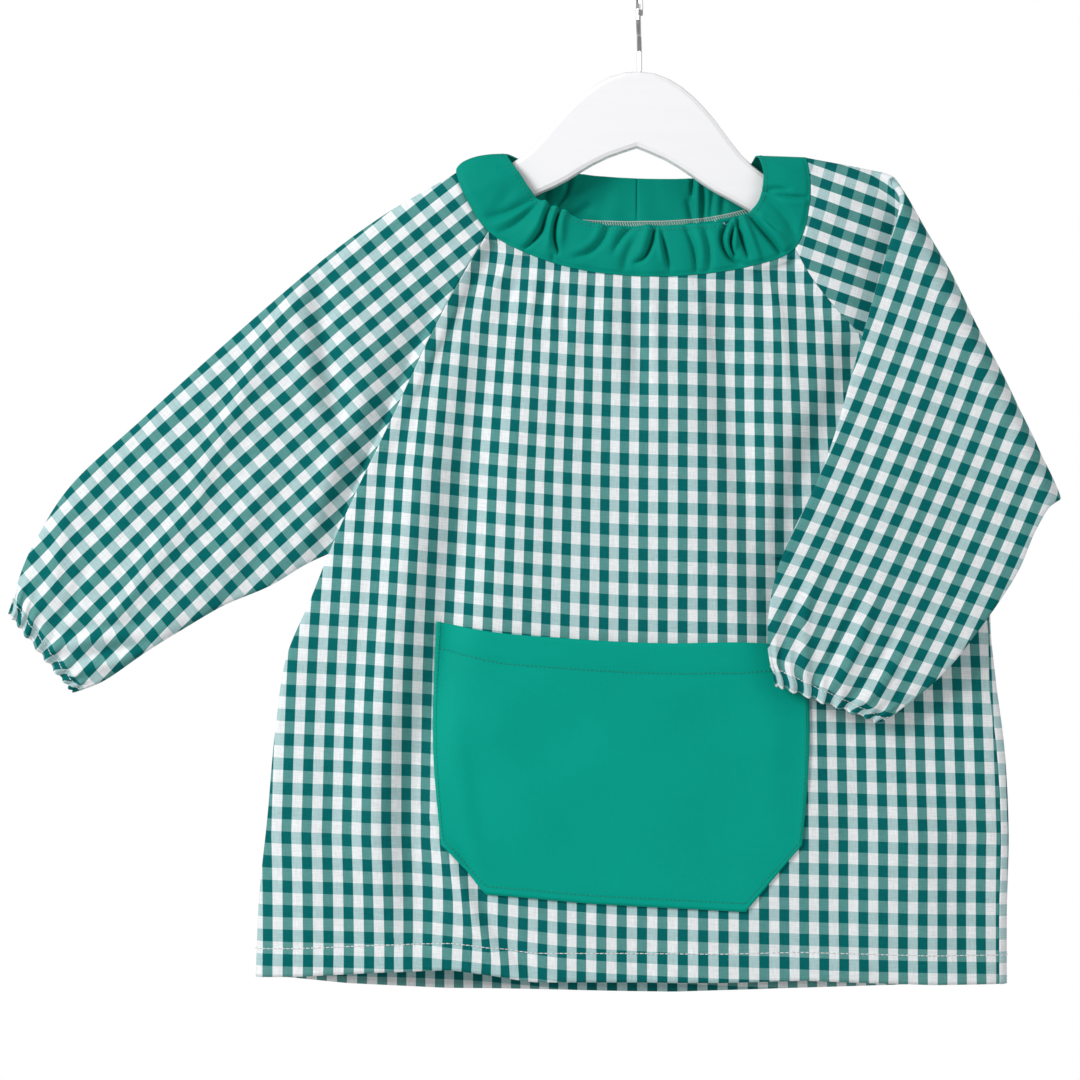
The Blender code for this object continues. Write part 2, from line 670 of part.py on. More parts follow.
def make_hook(material):
    """A wire crook on a straight stem. Its inside's top is the origin."""
    centre = HOOK_WIRE - HOOK_RADIUS
    turn = np.radians(np.linspace(HOOK_FROM, HOOK_TO, HOOK_POINTS))
    crook = np.stack([HOOK_RADIUS * np.cos(turn), centre + HOOK_RADIUS * np.sin(turn)], axis=1)
    stem = [(0, HOOK_FOOT), (0, HOOK_STEM_TOP)]
    path = np.concatenate([stem, along([stem[1], crook[0], crook[1]], HOOK_BEND), crook])
    curve = bpy.data.curves.new("hook", "CURVE")
    curve.dimensions = "3D"
    curve.bevel_depth = HOOK_WIRE * MM
    curve.bevel_resolution = 2
    curve.use_fill_caps = True
    line = curve.splines.new("POLY")
    line.points.add(len(path) - 1)
    for point, (y, z) in zip(line.points, path):
        point.co = (0, y * MM, z * MM, 1)
    curve.materials.append(material)
    bpy.context.scene.collection.objects.link(bpy.data.objects.new("hook", curve))


def main():
    for thing in list(bpy.data.objects):
        bpy.data.objects.remove(thing, do_unlink=True)
    gingham = paint("gingham", GINGHAM, 0.85)
    green = paint("plain_green", PLAIN_GREEN, 0.85)
    cloth = make_cloth(gingham, green)
    make_pocket(cloth["body_front"], green)
    make_hanger(paint("white_paint", WHITE_PAINT, 0.35))
    make_hook(paint("steel", STEEL, 0.25, 1.0))


main()
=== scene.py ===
"""The looks of a child's gingham school smock on its hanger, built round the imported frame.

The camera, the light and the finishes come first, then the smock's sizes and creases, and then the
cloth. All sizes are millimetres until a mesh is made. +Z is up and the smock's front faces -Y.
Right and left are the wearer's, so the right sleeve runs to -X.
"""

from collections import namedtuple

import bmesh
import bpy
import numpy as np
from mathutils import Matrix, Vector
from mathutils.bvhtree import BVHTree


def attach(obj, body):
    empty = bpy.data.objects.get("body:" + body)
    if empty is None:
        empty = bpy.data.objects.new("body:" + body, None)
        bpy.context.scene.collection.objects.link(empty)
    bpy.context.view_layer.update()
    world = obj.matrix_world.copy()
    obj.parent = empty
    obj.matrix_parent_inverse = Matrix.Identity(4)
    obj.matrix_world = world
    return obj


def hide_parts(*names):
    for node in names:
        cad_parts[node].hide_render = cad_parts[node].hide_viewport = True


MM = 0.001

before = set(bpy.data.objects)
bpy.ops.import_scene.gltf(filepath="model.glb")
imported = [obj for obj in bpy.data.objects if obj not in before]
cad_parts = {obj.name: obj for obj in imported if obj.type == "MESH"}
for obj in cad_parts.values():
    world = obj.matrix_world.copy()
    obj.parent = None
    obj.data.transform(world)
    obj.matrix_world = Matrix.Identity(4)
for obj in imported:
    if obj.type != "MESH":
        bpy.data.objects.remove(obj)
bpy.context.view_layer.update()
scene = bpy.context.scene

# Camera, light, room and floor

VIEW_WIDTH = 648
VIEW_CENTRE = (-60, -338.2)
VIEW_DISTANCE = 1800
FRONT_PLANE = -9
SENSOR = 36

SoftLight = namedtuple("SoftLight", "name place size power")
SOFT_LIGHTS = [
    SoftLight("key", (-1720, -1380, 560), 1000, 47),
    SoftLight("fill", (1600, -1300, 100), 1400, 9),
    SoftLight("rear", (1500, 1100, 800), 1000, 5),
]
LIGHT_AIM = (0, 0, -350)

# How bright the room is in front of the smock and behind it, and where its bright wall starts
ROOM_IN_FRONT = 0.41
ROOM_BEHIND = 1.0
ROOM_WALL_FROM = 0.7
ROOM_WALL_EDGE = 0.2

FLOOR_HEIGHT = -960
FLOOR_SIZE = 1100
FLOOR_COLOUR = (0.83, 0.83, 0.82)
FLOOR_ROUGHNESS = 0.8
FLOOR_GRAIN = 30
FLOOR_UNEVEN = 0.04


def make_camera():
    data = bpy.data.cameras.new("camera")
    data.sensor_width = SENSOR
    data.lens = SENSOR * VIEW_DISTANCE / VIEW_WIDTH
    camera = bpy.data.objects.new("camera", data)
    scene.collection.objects.link(camera)
    camera.location = Vector((VIEW_CENTRE[0], FRONT_PLANE - VIEW_DISTANCE, VIEW_CENTRE[1])) * MM
    camera.rotation_euler = (np.radians(90), 0, 0)
    scene.camera = camera


def make_soft_light(kind):
    data = bpy.data.lights.new(kind.name, "AREA")
    data.shape = "DISK"
    data.size = kind.size * MM
    data.energy = kind.power
    light = bpy.data.objects.new(kind.name, data)
    scene.collection.objects.link(light)
    place = Vector(kind.place)
    light.location = place * MM
    light.rotation_euler = (Vector(LIGHT_AIM) - place).to_track_quat("-Z", "Y").to_euler()


# Shader maths and finishes


class Sum:
    """A number in a shader: the operators add Math nodes."""

    def __init__(self, tree, socket):
        self.tree = tree
        self.socket = socket

    def node(self, operation, *others):
        made = self.tree.nodes.new("ShaderNodeMath")
        made.operation = operation
        for at, value in enumerate((self, *others)):
            if isinstance(value, Sum):
                self.tree.links.new(value.socket, made.inputs[at])
            else:
                made.inputs[at].default_value = value
        return Sum(self.tree, made.outputs[0])

    def __add__(self, other):
        return self.node("ADD", other)

    def __sub__(self, other):
        return self.node("SUBTRACT", other)

    def __rsub__(self, other):
        return (self * -1) + other

    def __mul__(self, other):
        return self.node("MULTIPLY", other)

    def __truediv__(self, other):
        return self.node("DIVIDE", other)

    __radd__ = __add__
    __rmul__ = __mul__

    def part(self):
        return self.node("FRACT")

    def size(self):
        return self.node("ABSOLUTE")

    def sine(self):
        return self.node("SINE")

    def kept(self):
        """Held between 0 and 1."""
        limited = self.node("MINIMUM", 1.0)
        return limited.node("MAXIMUM", 0.0)


# Where a colour Mix node keeps its two colours and its result
FIRST_COLOUR, SECOND_COLOUR, MIXED_COLOUR = 6, 7, 2

# Cotton has next to no shine, and a trace of fuzz that catches light at a glancing angle. Its relief
# comes from thick and thin yarns, the slubs, and from the weave of yarns this far apart
COTTON_SHINE = 0.05
COTTON_FUZZ = 0.01
COTTON_BUMP = 0.6
SLUB_SCALE = 1.0
WEAVE_RELIEF = 0.5
YARN = 0.42


def weave_height(across, along):
    """The relief of a plain weave, from -1 to 1."""
    turn = 2 * np.pi / (2 * YARN)
    return (across * turn).sine() * (along * turn).sine()


def uneven(amount, by):
    """A tone round 1 that varies by as much as by, where amount runs from 0 to 1."""
    return 1 - by / 2 + amount * by


class Finish:
    """A material with one shader, built node by node."""

    def __init__(self, name, roughness, metallic=0.0):
        self.material = bpy.data.materials.new(name)
        self.material.use_nodes = True
        self.tree = self.material.node_tree
        self.shader = self.tree.nodes["Principled BSDF"]
        self.shader.inputs["Roughness"].default_value = roughness
        self.shader.inputs["Metallic"].default_value = metallic

    def add(self, kind, settings=None, **sockets):
        made = self.tree.nodes.new("ShaderNode" + kind)
        for key, value in (settings or {}).items():
            setattr(made, key, value)
        for key, value in sockets.items():
            self.plug(value, made.inputs[key.replace("_", " ")])
        return made

    def plug(self, value, socket):
        if isinstance(value, Sum):
            value = value.socket
        if isinstance(value, bpy.types.NodeSocket):
            self.tree.links.new(value, socket)
        else:
            socket.default_value = value

    def number(self, socket):
        return Sum(self.tree, socket)

    def cloth_place(self):
        """The place on the flat cloth in millimetres, as its vector and its two numbers."""
        place = self.add("UVMap", {"uv_map": "cloth"}).outputs["UV"]
        split = self.add("SeparateXYZ", Vector=place)
        return place, self.number(split.outputs["X"]), self.number(split.outputs["Y"])

    def object_place(self):
        return self.add("TexCoord").outputs["Object"]

    def noise(self, place, scale, stretch=(1, 1, 1), detail=2.0):
        stretched = self.add("Mapping", Vector=place, Scale=stretch).outputs[0]
        return self.number(self.add("TexNoise", Vector=stretched, Scale=scale, Detail=detail).outputs["Fac"])

    def mix(self, amount, first, second):
        made = self.add("Mix", {"data_type": "RGBA"})
        self.plug(amount, made.inputs["Factor"])
        self.plug(first, made.inputs[FIRST_COLOUR])
        self.plug(second, made.inputs[SECOND_COLOUR])
        return made.outputs[MIXED_COLOUR]

    def tint(self, colour, tone):
        """The shader's colour is a colour times tone, a number round 1."""
        made = self.add("VectorMath", {"operation": "SCALE"})
        self.plug(colour, made.inputs[0])
        self.plug(tone, made.inputs["Scale"])
        self.plug(made.outputs[0], self.shader.inputs["Base Color"])

    def bump(self, height, depth, strength=1.0):
        made = self.add("Bump", Height=height, Distance=depth * MM, Strength=strength)
        self.tree.links.new(made.outputs["Normal"], self.shader.inputs["Normal"])

    def woven(self, cotton, place, across, along):
        """A dull cotton surface with the weave's relief. Returns the tone that its yarns give, with painted
        shade in the weave's hollows.
        """
        weave = weave_height(across, along)
        warp_slubs = self.noise(place, SLUB_SCALE, cotton.warp_slubs)
        weft_slubs = self.noise(place, SLUB_SCALE, cotton.weft_slubs)
        self.bump(weave * WEAVE_RELIEF + warp_slubs + weft_slubs, cotton.relief, COTTON_BUMP)
        self.shader.inputs["Specular IOR Level"].default_value = COTTON_SHINE
        self.shader.inputs["Sheen Weight"].default_value = COTTON_FUZZ
        slubs = warp_slubs * cotton.slub_shade + weft_slubs * cotton.slub_shade
        # The weave's tone is lighter on its raised yarns and darker in its hollows: painted shade
        return cotton.tone + slubs + weave * cotton.weave_shade


def light_room():
    """A white room: its wall behind the smock is lit, and the rest is dimmer."""
    world = bpy.data.worlds.new("room")
    scene.world = world
    world.use_nodes = True
    tree = world.node_tree
    sky = tree.nodes["Background"]
    sky.inputs["Color"].default_value = (1, 1, 1, 1)
    facing = tree.nodes.new("ShaderNodeSeparateXYZ")
    tree.links.new(tree.nodes.new("ShaderNodeTexCoord").outputs["Generated"], facing.inputs[0])
    behind = ((Sum(tree, facing.outputs["Y"]) - ROOM_WALL_FROM) / ROOM_WALL_EDGE).kept()
    strength = behind * (ROOM_BEHIND - ROOM_IN_FRONT) + ROOM_IN_FRONT
    tree.links.new(strength.socket, sky.inputs["Strength"])


def make_floor():
    work = bmesh.new()
    bmesh.ops.create_grid(work, x_segments=2, y_segments=2, size=FLOOR_SIZE / 2 * MM)
    bmesh.ops.translate(work, verts=work.verts, vec=(0, 0, FLOOR_HEIGHT * MM))
    mesh = bpy.data.meshes.new("floor")
    work.to_mesh(mesh)
    work.free()
    floor = bpy.data.objects.new("floor", mesh)
    scene.collection.objects.link(floor)
    finish = Finish("pale_floor", FLOOR_ROUGHNESS)
    grain = finish.noise(finish.object_place(), FLOOR_GRAIN)
    finish.tint(FLOOR_COLOUR, uneven(grain, FLOOR_UNEVEN))
    mesh.materials.append(finish.material)


make_camera()
for kind in SOFT_LIGHTS:
    make_soft_light(kind)
scene.view_settings.view_transform = "Standard"
light_room()
make_floor()

# The checks: a repeat of the warp and of the weft, half green and half white, and the four colours
WARP_REPEAT = 12.2
WEFT_REPEAT = 14.2
EDGE_BLUR = 0.22
DARK_CHECK = (0.001, 0.122, 0.12, 1)
WARP_CHECK = (0.094, 0.28, 0.265, 1)
WEFT_CHECK = (0.39, 0.56, 0.57, 1)
WHITE_CHECK = (0.775, 0.8, 0.815, 1)

# The two cottons: their roughness, how their slubs are drawn out across and along the cloth, their
# mean tone with the shade of slubs and the painted shade of the weave's hollows, and their relief
Cotton = namedtuple("Cotton", "roughness warp_slubs weft_slubs tone slub_shade weave_shade relief")
GINGHAM_COTTON = Cotton(0.88, (1.7, 0.12, 1), (0.12, 1.5, 1), 0.6, 0.4, 0.05, 0.12)
PLAIN_COTTON = Cotton(0.62, (1.9, 0.1, 1), (0.1, 1.9, 1), 0.86, 0.07, 0.03, 0.1)
PLAIN_GREEN = (0.0004, 0.318, 0.238)
DYE_CLOUDS = 0.02
DYE_UNEVEN = 0.14
POCKET_DEPTH_OF_DYE = 1.0
# The neck band's green is made darker than the pocket's as painted shade, for the shade of its folds
BAND_PAINTED_SHADE = 0.8

WHITE_THREAD = (0.7, 0.72, 0.72)
GREEN_THREAD = (0.0, 0.27, 0.2)
THREAD_ROUGHNESS = 0.7
THREAD_TWIST = 900
THREAD_UNEVEN = 0.3
THREAD_RELIEF = 0.08

PAINT = (0.885, 0.885, 0.9)
PAINT_ROUGHNESS = 0.38
PAINT_COAT = 0.25
PAINT_COAT_ROUGHNESS = 0.2
PAINT_UNEVEN = 0.04
PAINT_RELIEF = 0.1
PAINT_BUMP = 0.5
WOOD_GRAIN = 60
WOOD_GRAIN_RUN = (0.25, 1, 4)
WOOD_GRAIN_DETAIL = 4.0
BRUSH_MARKS = 500
BRUSH_RELIEF = 0.2

STEEL = (0.5, 0.51, 0.52)
STEEL_ROUGHNESS = 0.22
STEEL_DRAWN = 400
STEEL_DRAWN_RUN = (1, 1, 0.05)
STEEL_UNEVEN = 0.2
STEEL_ROUGHNESS_RANGE = 0.12
STEEL_RELIEF = 0.02
STEEL_BUMP = 0.4


def stripes(place, repeat):
    """1 on the green half of each repeat, within a quarter of it from its middle, and 0 on the white."""
    off_centre = ((place / repeat).part() - 0.5).size()
    return ((0.25 - off_centre) * (repeat / EDGE_BLUR) + 0.5).kept()


def gingham_finish():
    finish = Finish("gingham", GINGHAM_COTTON.roughness)
    place, across, along = finish.cloth_place()
    warp = stripes(across, WARP_REPEAT)
    weft = stripes(along, WEFT_REPEAT)
    on_white_warp = finish.mix(weft, WHITE_CHECK, WEFT_CHECK)
    on_green_warp = finish.mix(weft, WARP_CHECK, DARK_CHECK)
    colour = finish.mix(warp, on_white_warp, on_green_warp)
    finish.tint(colour, finish.woven(GINGHAM_COTTON, place, across, along))
    return finish.material


def green_finish(name, depth):
    """Plain green cotton; a depth of 1 is as dyed, and less darkens it all over as painted shade."""
    finish = Finish(name, PLAIN_COTTON.roughness)
    place, across, along = finish.cloth_place()
    clouds = finish.noise(place, DYE_CLOUDS)
    yarns = finish.woven(PLAIN_COTTON, place, across, along)
    finish.tint(PLAIN_GREEN, (yarns + clouds * DYE_UNEVEN) * depth)
    return finish.material


def thread_finish(name, colour):
    finish = Finish(name, THREAD_ROUGHNESS)
    twist = finish.noise(finish.object_place(), THREAD_TWIST)
    finish.tint(colour, uneven(twist, THREAD_UNEVEN))
    finish.bump(twist, THREAD_RELIEF)
    return finish.material


def paint_finish():
    """White satin paint over wood, with the grain just telegraphing through."""
    finish = Finish("white_paint", PAINT_ROUGHNESS)
    grain = finish.noise(finish.object_place(), WOOD_GRAIN, WOOD_GRAIN_RUN, WOOD_GRAIN_DETAIL)
    brush = finish.noise(finish.object_place(), BRUSH_MARKS)
    finish.tint(PAINT, uneven(grain, PAINT_UNEVEN))
    finish.bump(grain + brush * BRUSH_RELIEF, PAINT_RELIEF, PAINT_BUMP)
    finish.shader.inputs["Coat Weight"].default_value = PAINT_COAT
    finish.shader.inputs["Coat Roughness"].default_value = PAINT_COAT_ROUGHNESS
    return finish.material


def steel_finish():
    """Bright wire with the marks of drawing along it."""
    finish = Finish("steel", STEEL_ROUGHNESS, 1.0)
    drawn = finish.noise(finish.object_place(), STEEL_DRAWN, STEEL_DRAWN_RUN)
    finish.tint(STEEL, uneven(drawn, STEEL_UNEVEN))
    least = STEEL_ROUGHNESS - STEEL_ROUGHNESS_RANGE / 2
    finish.plug(least + drawn * STEEL_ROUGHNESS_RANGE, finish.shader.inputs["Roughness"])
    finish.bump(drawn, STEEL_RELIEF, STEEL_BUMP)
    return finish.material


gingham = gingham_finish()
pocket_green = green_finish("pocket_green", POCKET_DEPTH_OF_DYE)
# A darker copy of the plain green for the neck band: painted shade
band_green_painted_shade = green_finish("band_green_painted_shade", BAND_PAINTED_SHADE)
white_thread = thread_finish("white_thread", WHITE_THREAD)
green_thread = thread_finish("green_thread", GREEN_THREAD)

for node, finish in (("hanger", paint_finish()), ("hook", steel_finish())):
    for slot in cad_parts[node].material_slots:
        slot.link = "OBJECT"
        slot.material = finish


# The smock's own sizes, as its solids have them

# Half the smock's depth at the neck, the chest and down the body, and how round its edges are
NECK_DEPTH = 9.0
CHEST_DEPTH = 8.5
BODY_DEPTHS = [(0, NECK_DEPTH), (0.15, CHEST_DEPTH), (0.6, CHEST_DEPTH), (1, 12)]
ROUNDNESS = 0.5

# How a raglan seam's depth falls to nothing, and the share of the body's rows that it has
RAGLAN_FALL = 2.2
RAGLAN_SHARE = 0.46

# Cells of the shells across and down
FRONT_CELLS = 192
BACK_CELLS = 120
SHOULDER_CELLS = 16
RAGLAN_ROWS = 96
SIDE_ROWS = 104
BAND_ROWS = 44
ROWS_PER_LINE = 6

# Stations round the neck seam and the band's free edge, from the right shoulder over the front: side
# is -1 in front, 1 behind and 0 on the shoulder's fold
NeckStation = namedtuple("NeckStation", "seam_x seam_z edge_x edge_z side")
NECK = [
    NeckStation(-110, -117, -80, -106, 0),
    NeckStation(-105, -132, -73, -117, -1),
    NeckStation(-91, -153, -63, -131, -1),
    NeckStation(-66, -167, -48, -140, -1),
    NeckStation(-36, -176, -28, -148, -1),
    NeckStation(0, -180, 0, -150, -1),
    NeckStation(34, -179, 26, -149, -1),
    NeckStation(66, -174, 52, -147, -1),
    NeckStation(93, -163, 69, -138, -1),
    NeckStation(102, -134, 74, -121, -1),
    NeckStation(100, -108, 71, -107, 0),
    NeckStation(96, -122, 67, -111, 1),
    NeckStation(84, -136, 56, -116, 1),
    NeckStation(45, -147, 30, -119, 1),
    NeckStation(0, -150, 0, -119, 1),
    NeckStation(-45, -148, -30, -117, 1),
    NeckStation(-86, -139, -58, -113, 1),
    NeckStation(-103, -127, -71, -108, 1),
]
RIGHT_FOLD, RIGHT_FRONT, LEFT_FRONT, LEFT_FOLD, LEFT_BACK, RIGHT_BACK = 0, 2, 8, 10, 12, 16
SHOULDER_SPAN = RIGHT_FRONT - RIGHT_FOLD

# The gathers at the neck seam: how many, and how unevenly they are spaced and raised
Gathers = namedtuple("Gathers", "count drift beats")
FRONT_GATHERS = Gathers(10, 0.9, 7)
BACK_GATHERS = Gathers(8, 0.7, 9)
GATHER_HEIGHT = 0.6
GATHER_UNEVEN = 0.3
GATHER_BEAT = 2.3

# How fast the neck's sag and its gathers die away down a panel, how late the hem's dip comes, and
# the share of the panel's height by which its cells are set round its edges
SAG_FADE = 2
GATHER_FADE = 9
DIP_FADE = 6
ROUND_BY = 0.5

RIGHT_RAGLAN = [(-91, -153), (-107, -180), (-125, -214), (-148, -263), (-175, -319), (-187, -346)]
RIGHT_SIDE = [
    (-187, -346), (-198, -374), (-212, -407), (-219, -451), (-224, -505), (-229, -554), (-231, -601),
]
LEFT_RAGLAN = [(93, -163), (102, -179), (115, -196), (136, -219), (178, -279), (218, -341)]
LEFT_SIDE = [
    (218, -341), (212, -366), (211, -386), (214, -422), (219, -460), (222, -514), (221, -561), (221, -605),
]

# The share of a panel's width over which it leaves its seams' depth, and the angle by which the side
# seams roll to the back, with the share of the side over which they do
EDGE_REACH = 0.03
SEAM_ROLL = 0.21
ROLL_LENGTH = 0.385

# How far the hems hang lower at shares of their width
FRONT_HEM_DIP = [
    (0, 0), (0.06, -1), (0.16, -4), (0.26, -6), (0.32, -2.7), (0.37, 0.6), (0.62, 0), (0.73, -1.7),
    (0.9, 0.5), (1, 0),
]
BACK_HEM_DIP = [(0, 0), (0.06, 2.7), (0.12, 5.4), (0.25, 7.8), (0.56, 9.2), (0.76, 5.4), (0.96, 1.4), (1, 0)]

# Lines across a flat sleeve from the armhole to the wrist: its ends, half its depth, and the steps of
# rows before it
SleeveLine = namedtuple("SleeveLine", "top_x top_z under_x under_z depth rows")
RIGHT_SLEEVE = [
    SleeveLine(-159, -146, -202, -353, 8, 3),
    SleeveLine(-208, -184, -226, -367, 7, 3),
    SleeveLine(-256, -226, -250, -377, 6.5, 2),
    SleeveLine(-300, -266, -271, -389, 6, 2),
    SleeveLine(-342, -305, -297, -405, 6, 2),
    SleeveLine(-365, -341, -320, -421, 5.5, 2),
    SleeveLine(-380, -382, -341, -430, 5, 3),
]
LEFT_SLEEVE = [
    SleeveLine(146, -117, 251, -315, 4, 4),
    SleeveLine(175, -130, 284, -307, 3.5, 7),
    SleeveLine(244, -154, 313, -313, 3.5, 3),
    SleeveLine(321, -181, 351, -314, 3.5, 3),
    SleeveLine(396, -197, 391, -311, 3.5, 3),
    SleeveLine(430, -215, 420, -303, 4, 2),
    SleeveLine(450, -235, 432, -298, 4.5, 2),
]

# The steps of rows over which the armhole's own shape dies away
RIGHT_ARMHOLE_LINES = 6
LEFT_ARMHOLE_LINES = 4

# The line that the left sleeve is folded forward over, and the radius of the fold
FOLD_START = (143.4, -126.1)
FOLD_DIRECTION = (0.4576, -0.8892)
FOLD_RADIUS = 9.6

# Thickness of the cloth, the neck band and what is left between two layers
CLOTH = 0.7
BAND_CLOTH = 1.1
LAYER_GAP = 0.5

# The creases: the way each takes, how wide and how high it stands (a minus sign is a hollow),
# and the cloth that is taken up in it, if any
Crease = namedtuple("Crease", "path width height tuck", defaults=[0])
FRONT_CREASES = [
    Crease([(-74, -165), (-84, -180), (-92, -196)], 3.5, 2.2, 2.5),
    Crease([(-68, -168), (-84, -206)], 3, -1.6),
    Crease([(-82, -160), (-100, -196)], 3, 1.2, 1),
    Crease([(-60, -168), (-70, -222)], 3.2, 1.7, 1.5),
    Crease([(-53, -171), (-60, -200)], 2.2, -1.4),
    Crease([(-49, -172), (-52, -190), (-53, -212)], 2.4, 2.0, 2.5),
    Crease([(-44, -174), (-46, -214)], 2.2, -1.7),
    Crease([(-36, -176), (-40, -238)], 4, 1.3, 1),
    Crease([(-28, -177), (-30, -205)], 2.5, -1.2),
    Crease([(-18, -179), (-20, -225)], 3, 1.1, 0.5),
    Crease([(-3, -180), (-1, -212), (0, -256)], 6, -3.4),
    Crease([(6, -180), (8, -244)], 4, 1.1, 1),
    Crease([(16, -180), (18, -208)], 2.4, -1.0),
    Crease([(24, -180), (27, -214)], 5, 0.8),
    Crease([(36, -179), (40, -232)], 3.4, 1.2, 1),
    Crease([(46, -177), (52, -206)], 2.4, -1.1),
    Crease([(50, -182), (54, -240), (64, -310), (72, -380)], 12, -5.6),
    Crease([(66, -174), (74, -204)], 3.2, -1.1),
    Crease([(74, -170), (84, -205), (88, -250)], 3.6, 2.2, 2.5),
    Crease([(-104, -186), (-122, -245), (-135, -314), (-148, -400), (-160, -487), (-150, -560)], 15, 7.4, 2),
    Crease([(-86, -200), (-98, -262), (-106, -330), (-118, -400), (-136, -500), (-134, -590)], 13, -6.0),
    Crease([(-168, -330), (-174, -372), (-178, -410)], 9, 1.5),
    Crease([(-182, -440), (-196, -520), (-206, -585)], 15, 1.4),
    Crease([(-196, -400), (-186, -470), (-190, -540)], 9, -1.2),
    Crease([(140, -202), (124, -245), (98, -300), (88, -342), (86, -392)], 14, -7.5),
    Crease([(60, -300), (76, -340), (70, -385)], 12, 1.4),
    Crease([(-20, -240), (-34, -300), (-60, -375)], 24, -1.0),
    Crease([(10, -250), (22, -310), (30, -380)], 20, 1.0),
    Crease([(150, -470), (166, -530), (176, -592)], 14, 1.5),
    Crease([(120, -440), (126, -510), (120, -585)], 13, -1.2),
    Crease([(192, -450), (200, -520), (196, -600)], 9, -1.0),
    Crease([(-121, -518), (-108, -545), (-98, -568), (-70, -602)], 5, 2.6, 4),
    Crease([(-108, -522), (-98, -548), (-88, -570), (-58, -604)], 4.5, -2.0),
    Crease([(-150, -590), (-130, -604)], 6, 1.2, 1),
    Crease([(0, -572), (4, -604)], 12, -0.8),
    Crease([(100, -578), (122, -592), (146, -601)], 8, 1.2),
]
RIGHT_SLEEVE_CREASES = [
    Crease([(-205, -183), (-228, -225), (-247, -262), (-262, -296), (-270, -325)], 8, 2.6, 5),
    Crease([(-268, -318), (-292, -350), (-312, -380), (-334, -402)], 7, 2.2, 4),
    Crease([(-232, -222), (-250, -258), (-262, -290)], 7, -1.6),
    Crease([(-205, -186), (-203, -222), (-194, -262)], 9, 2.4, 1),
    Crease([(-192, -178), (-190, -215), (-184, -250), (-170, -290)], 8, -6.0),
    Crease([(-128, -205), (-148, -258), (-170, -312), (-183, -340)], 12, -7.5),
    Crease([(-112, -176), (-124, -206), (-138, -232)], 6, -1.3),
    Crease([(-166, -250), (-190, -310), (-202, -350)], 8, 3.2),
    Crease([(-226, -300), (-244, -340), (-262, -368)], 9, 1.3, 1),
    Crease([(-210, -290), (-226, -335), (-240, -368)], 8, -1.2),
    Crease([(-300, -290), (-322, -318), (-336, -344)], 9, -1.1),
    Crease([(-346, -320), (-350, -348), (-356, -376)], 5, 1.6, 2),
    Crease([(-330, -352), (-344, -378), (-358, -399)], 4, -1.5),
    Crease([(-306, -396), (-330, -398), (-356, -404)], 4.2, 2.4, 4),
    Crease([(-298, -388), (-320, -391), (-350, -396)], 3.6, -1.8),
    Crease([(-296, -410), (-318, -412), (-343, -418)], 4, 2.2, 3),
    Crease([(-286, -398), (-312, -404), (-340, -411)], 3.4, -1.6),
    Crease([(-280, -384), (-292, -402), (-300, -414)], 5, 1.4, 1),
    Crease([(-130, -150), (-142, -162), (-150, -178)], 8, 0.9),
]
LEFT_SLEEVE_CREASES = [
    Crease([(110, -135), (128, -140), (150, -150)], 6, 1.2, 1),
    Crease([(112, -160), (136, -172), (158, -188)], 8, -1.2),
    Crease([(240, -170), (285, -184), (330, -200)], 12, 0.9),
    Crease([(220, -240), (260, -252), (300, -262)], 14, 0.8),
]
BACK_SLEEVE_CREASES = {
    "sleeve_right": [
        Crease([(-170, -190), (-196, -222), (-215, -262), (-240, -295)], 9, 2.0, 2),
        Crease([(-236, -290), (-262, -320), (-290, -356), (-318, -386)], 8, 2.0, 2),
        Crease([(-318, -320), (-338, -350), (-354, -380)], 5, 1.6, 1.5),
        Crease([(-240, -300), (-250, -350)], 8, -1.4),
        Crease([(-150, -230), (-172, -290), (-190, -330)], 10, -2.4),
        Crease([(-290, -392), (-318, -402), (-346, -410)], 4, 1.8, 2),
    ],
    "sleeve_left": [
        Crease([(150, -150), (180, -172), (212, -200)], 9, 1.0),
        Crease([(240, -196), (286, -214), (330, -230)], 10, 1.2),
        Crease([(250, -262), (300, -268), (350, -262)], 11, -1.0),
        Crease([(330, -206), (372, -226), (410, -240)], 7, -1.1),
        Crease([(384, -284), (410, -286), (440, -284)], 3.2, 2.2, 3),
        Crease([(380, -276), (408, -277), (438, -276)], 3, -1.9),
        Crease([(370, -250), (392, -258), (412, -262), (446, -262)], 3.4, 2.3, 3),
        Crease([(378, -244), (404, -250), (440, -252)], 3, -2.0),
        Crease([(378, -216), (402, -222), (430, -240), (448, -246)], 3.4, 2.2, 3),
        Crease([(394, -212), (420, -222), (444, -232)], 3, -1.8),
        Crease([(230, -280), (262, -290), (300, -292)], 8, -1.0),
    ],
}
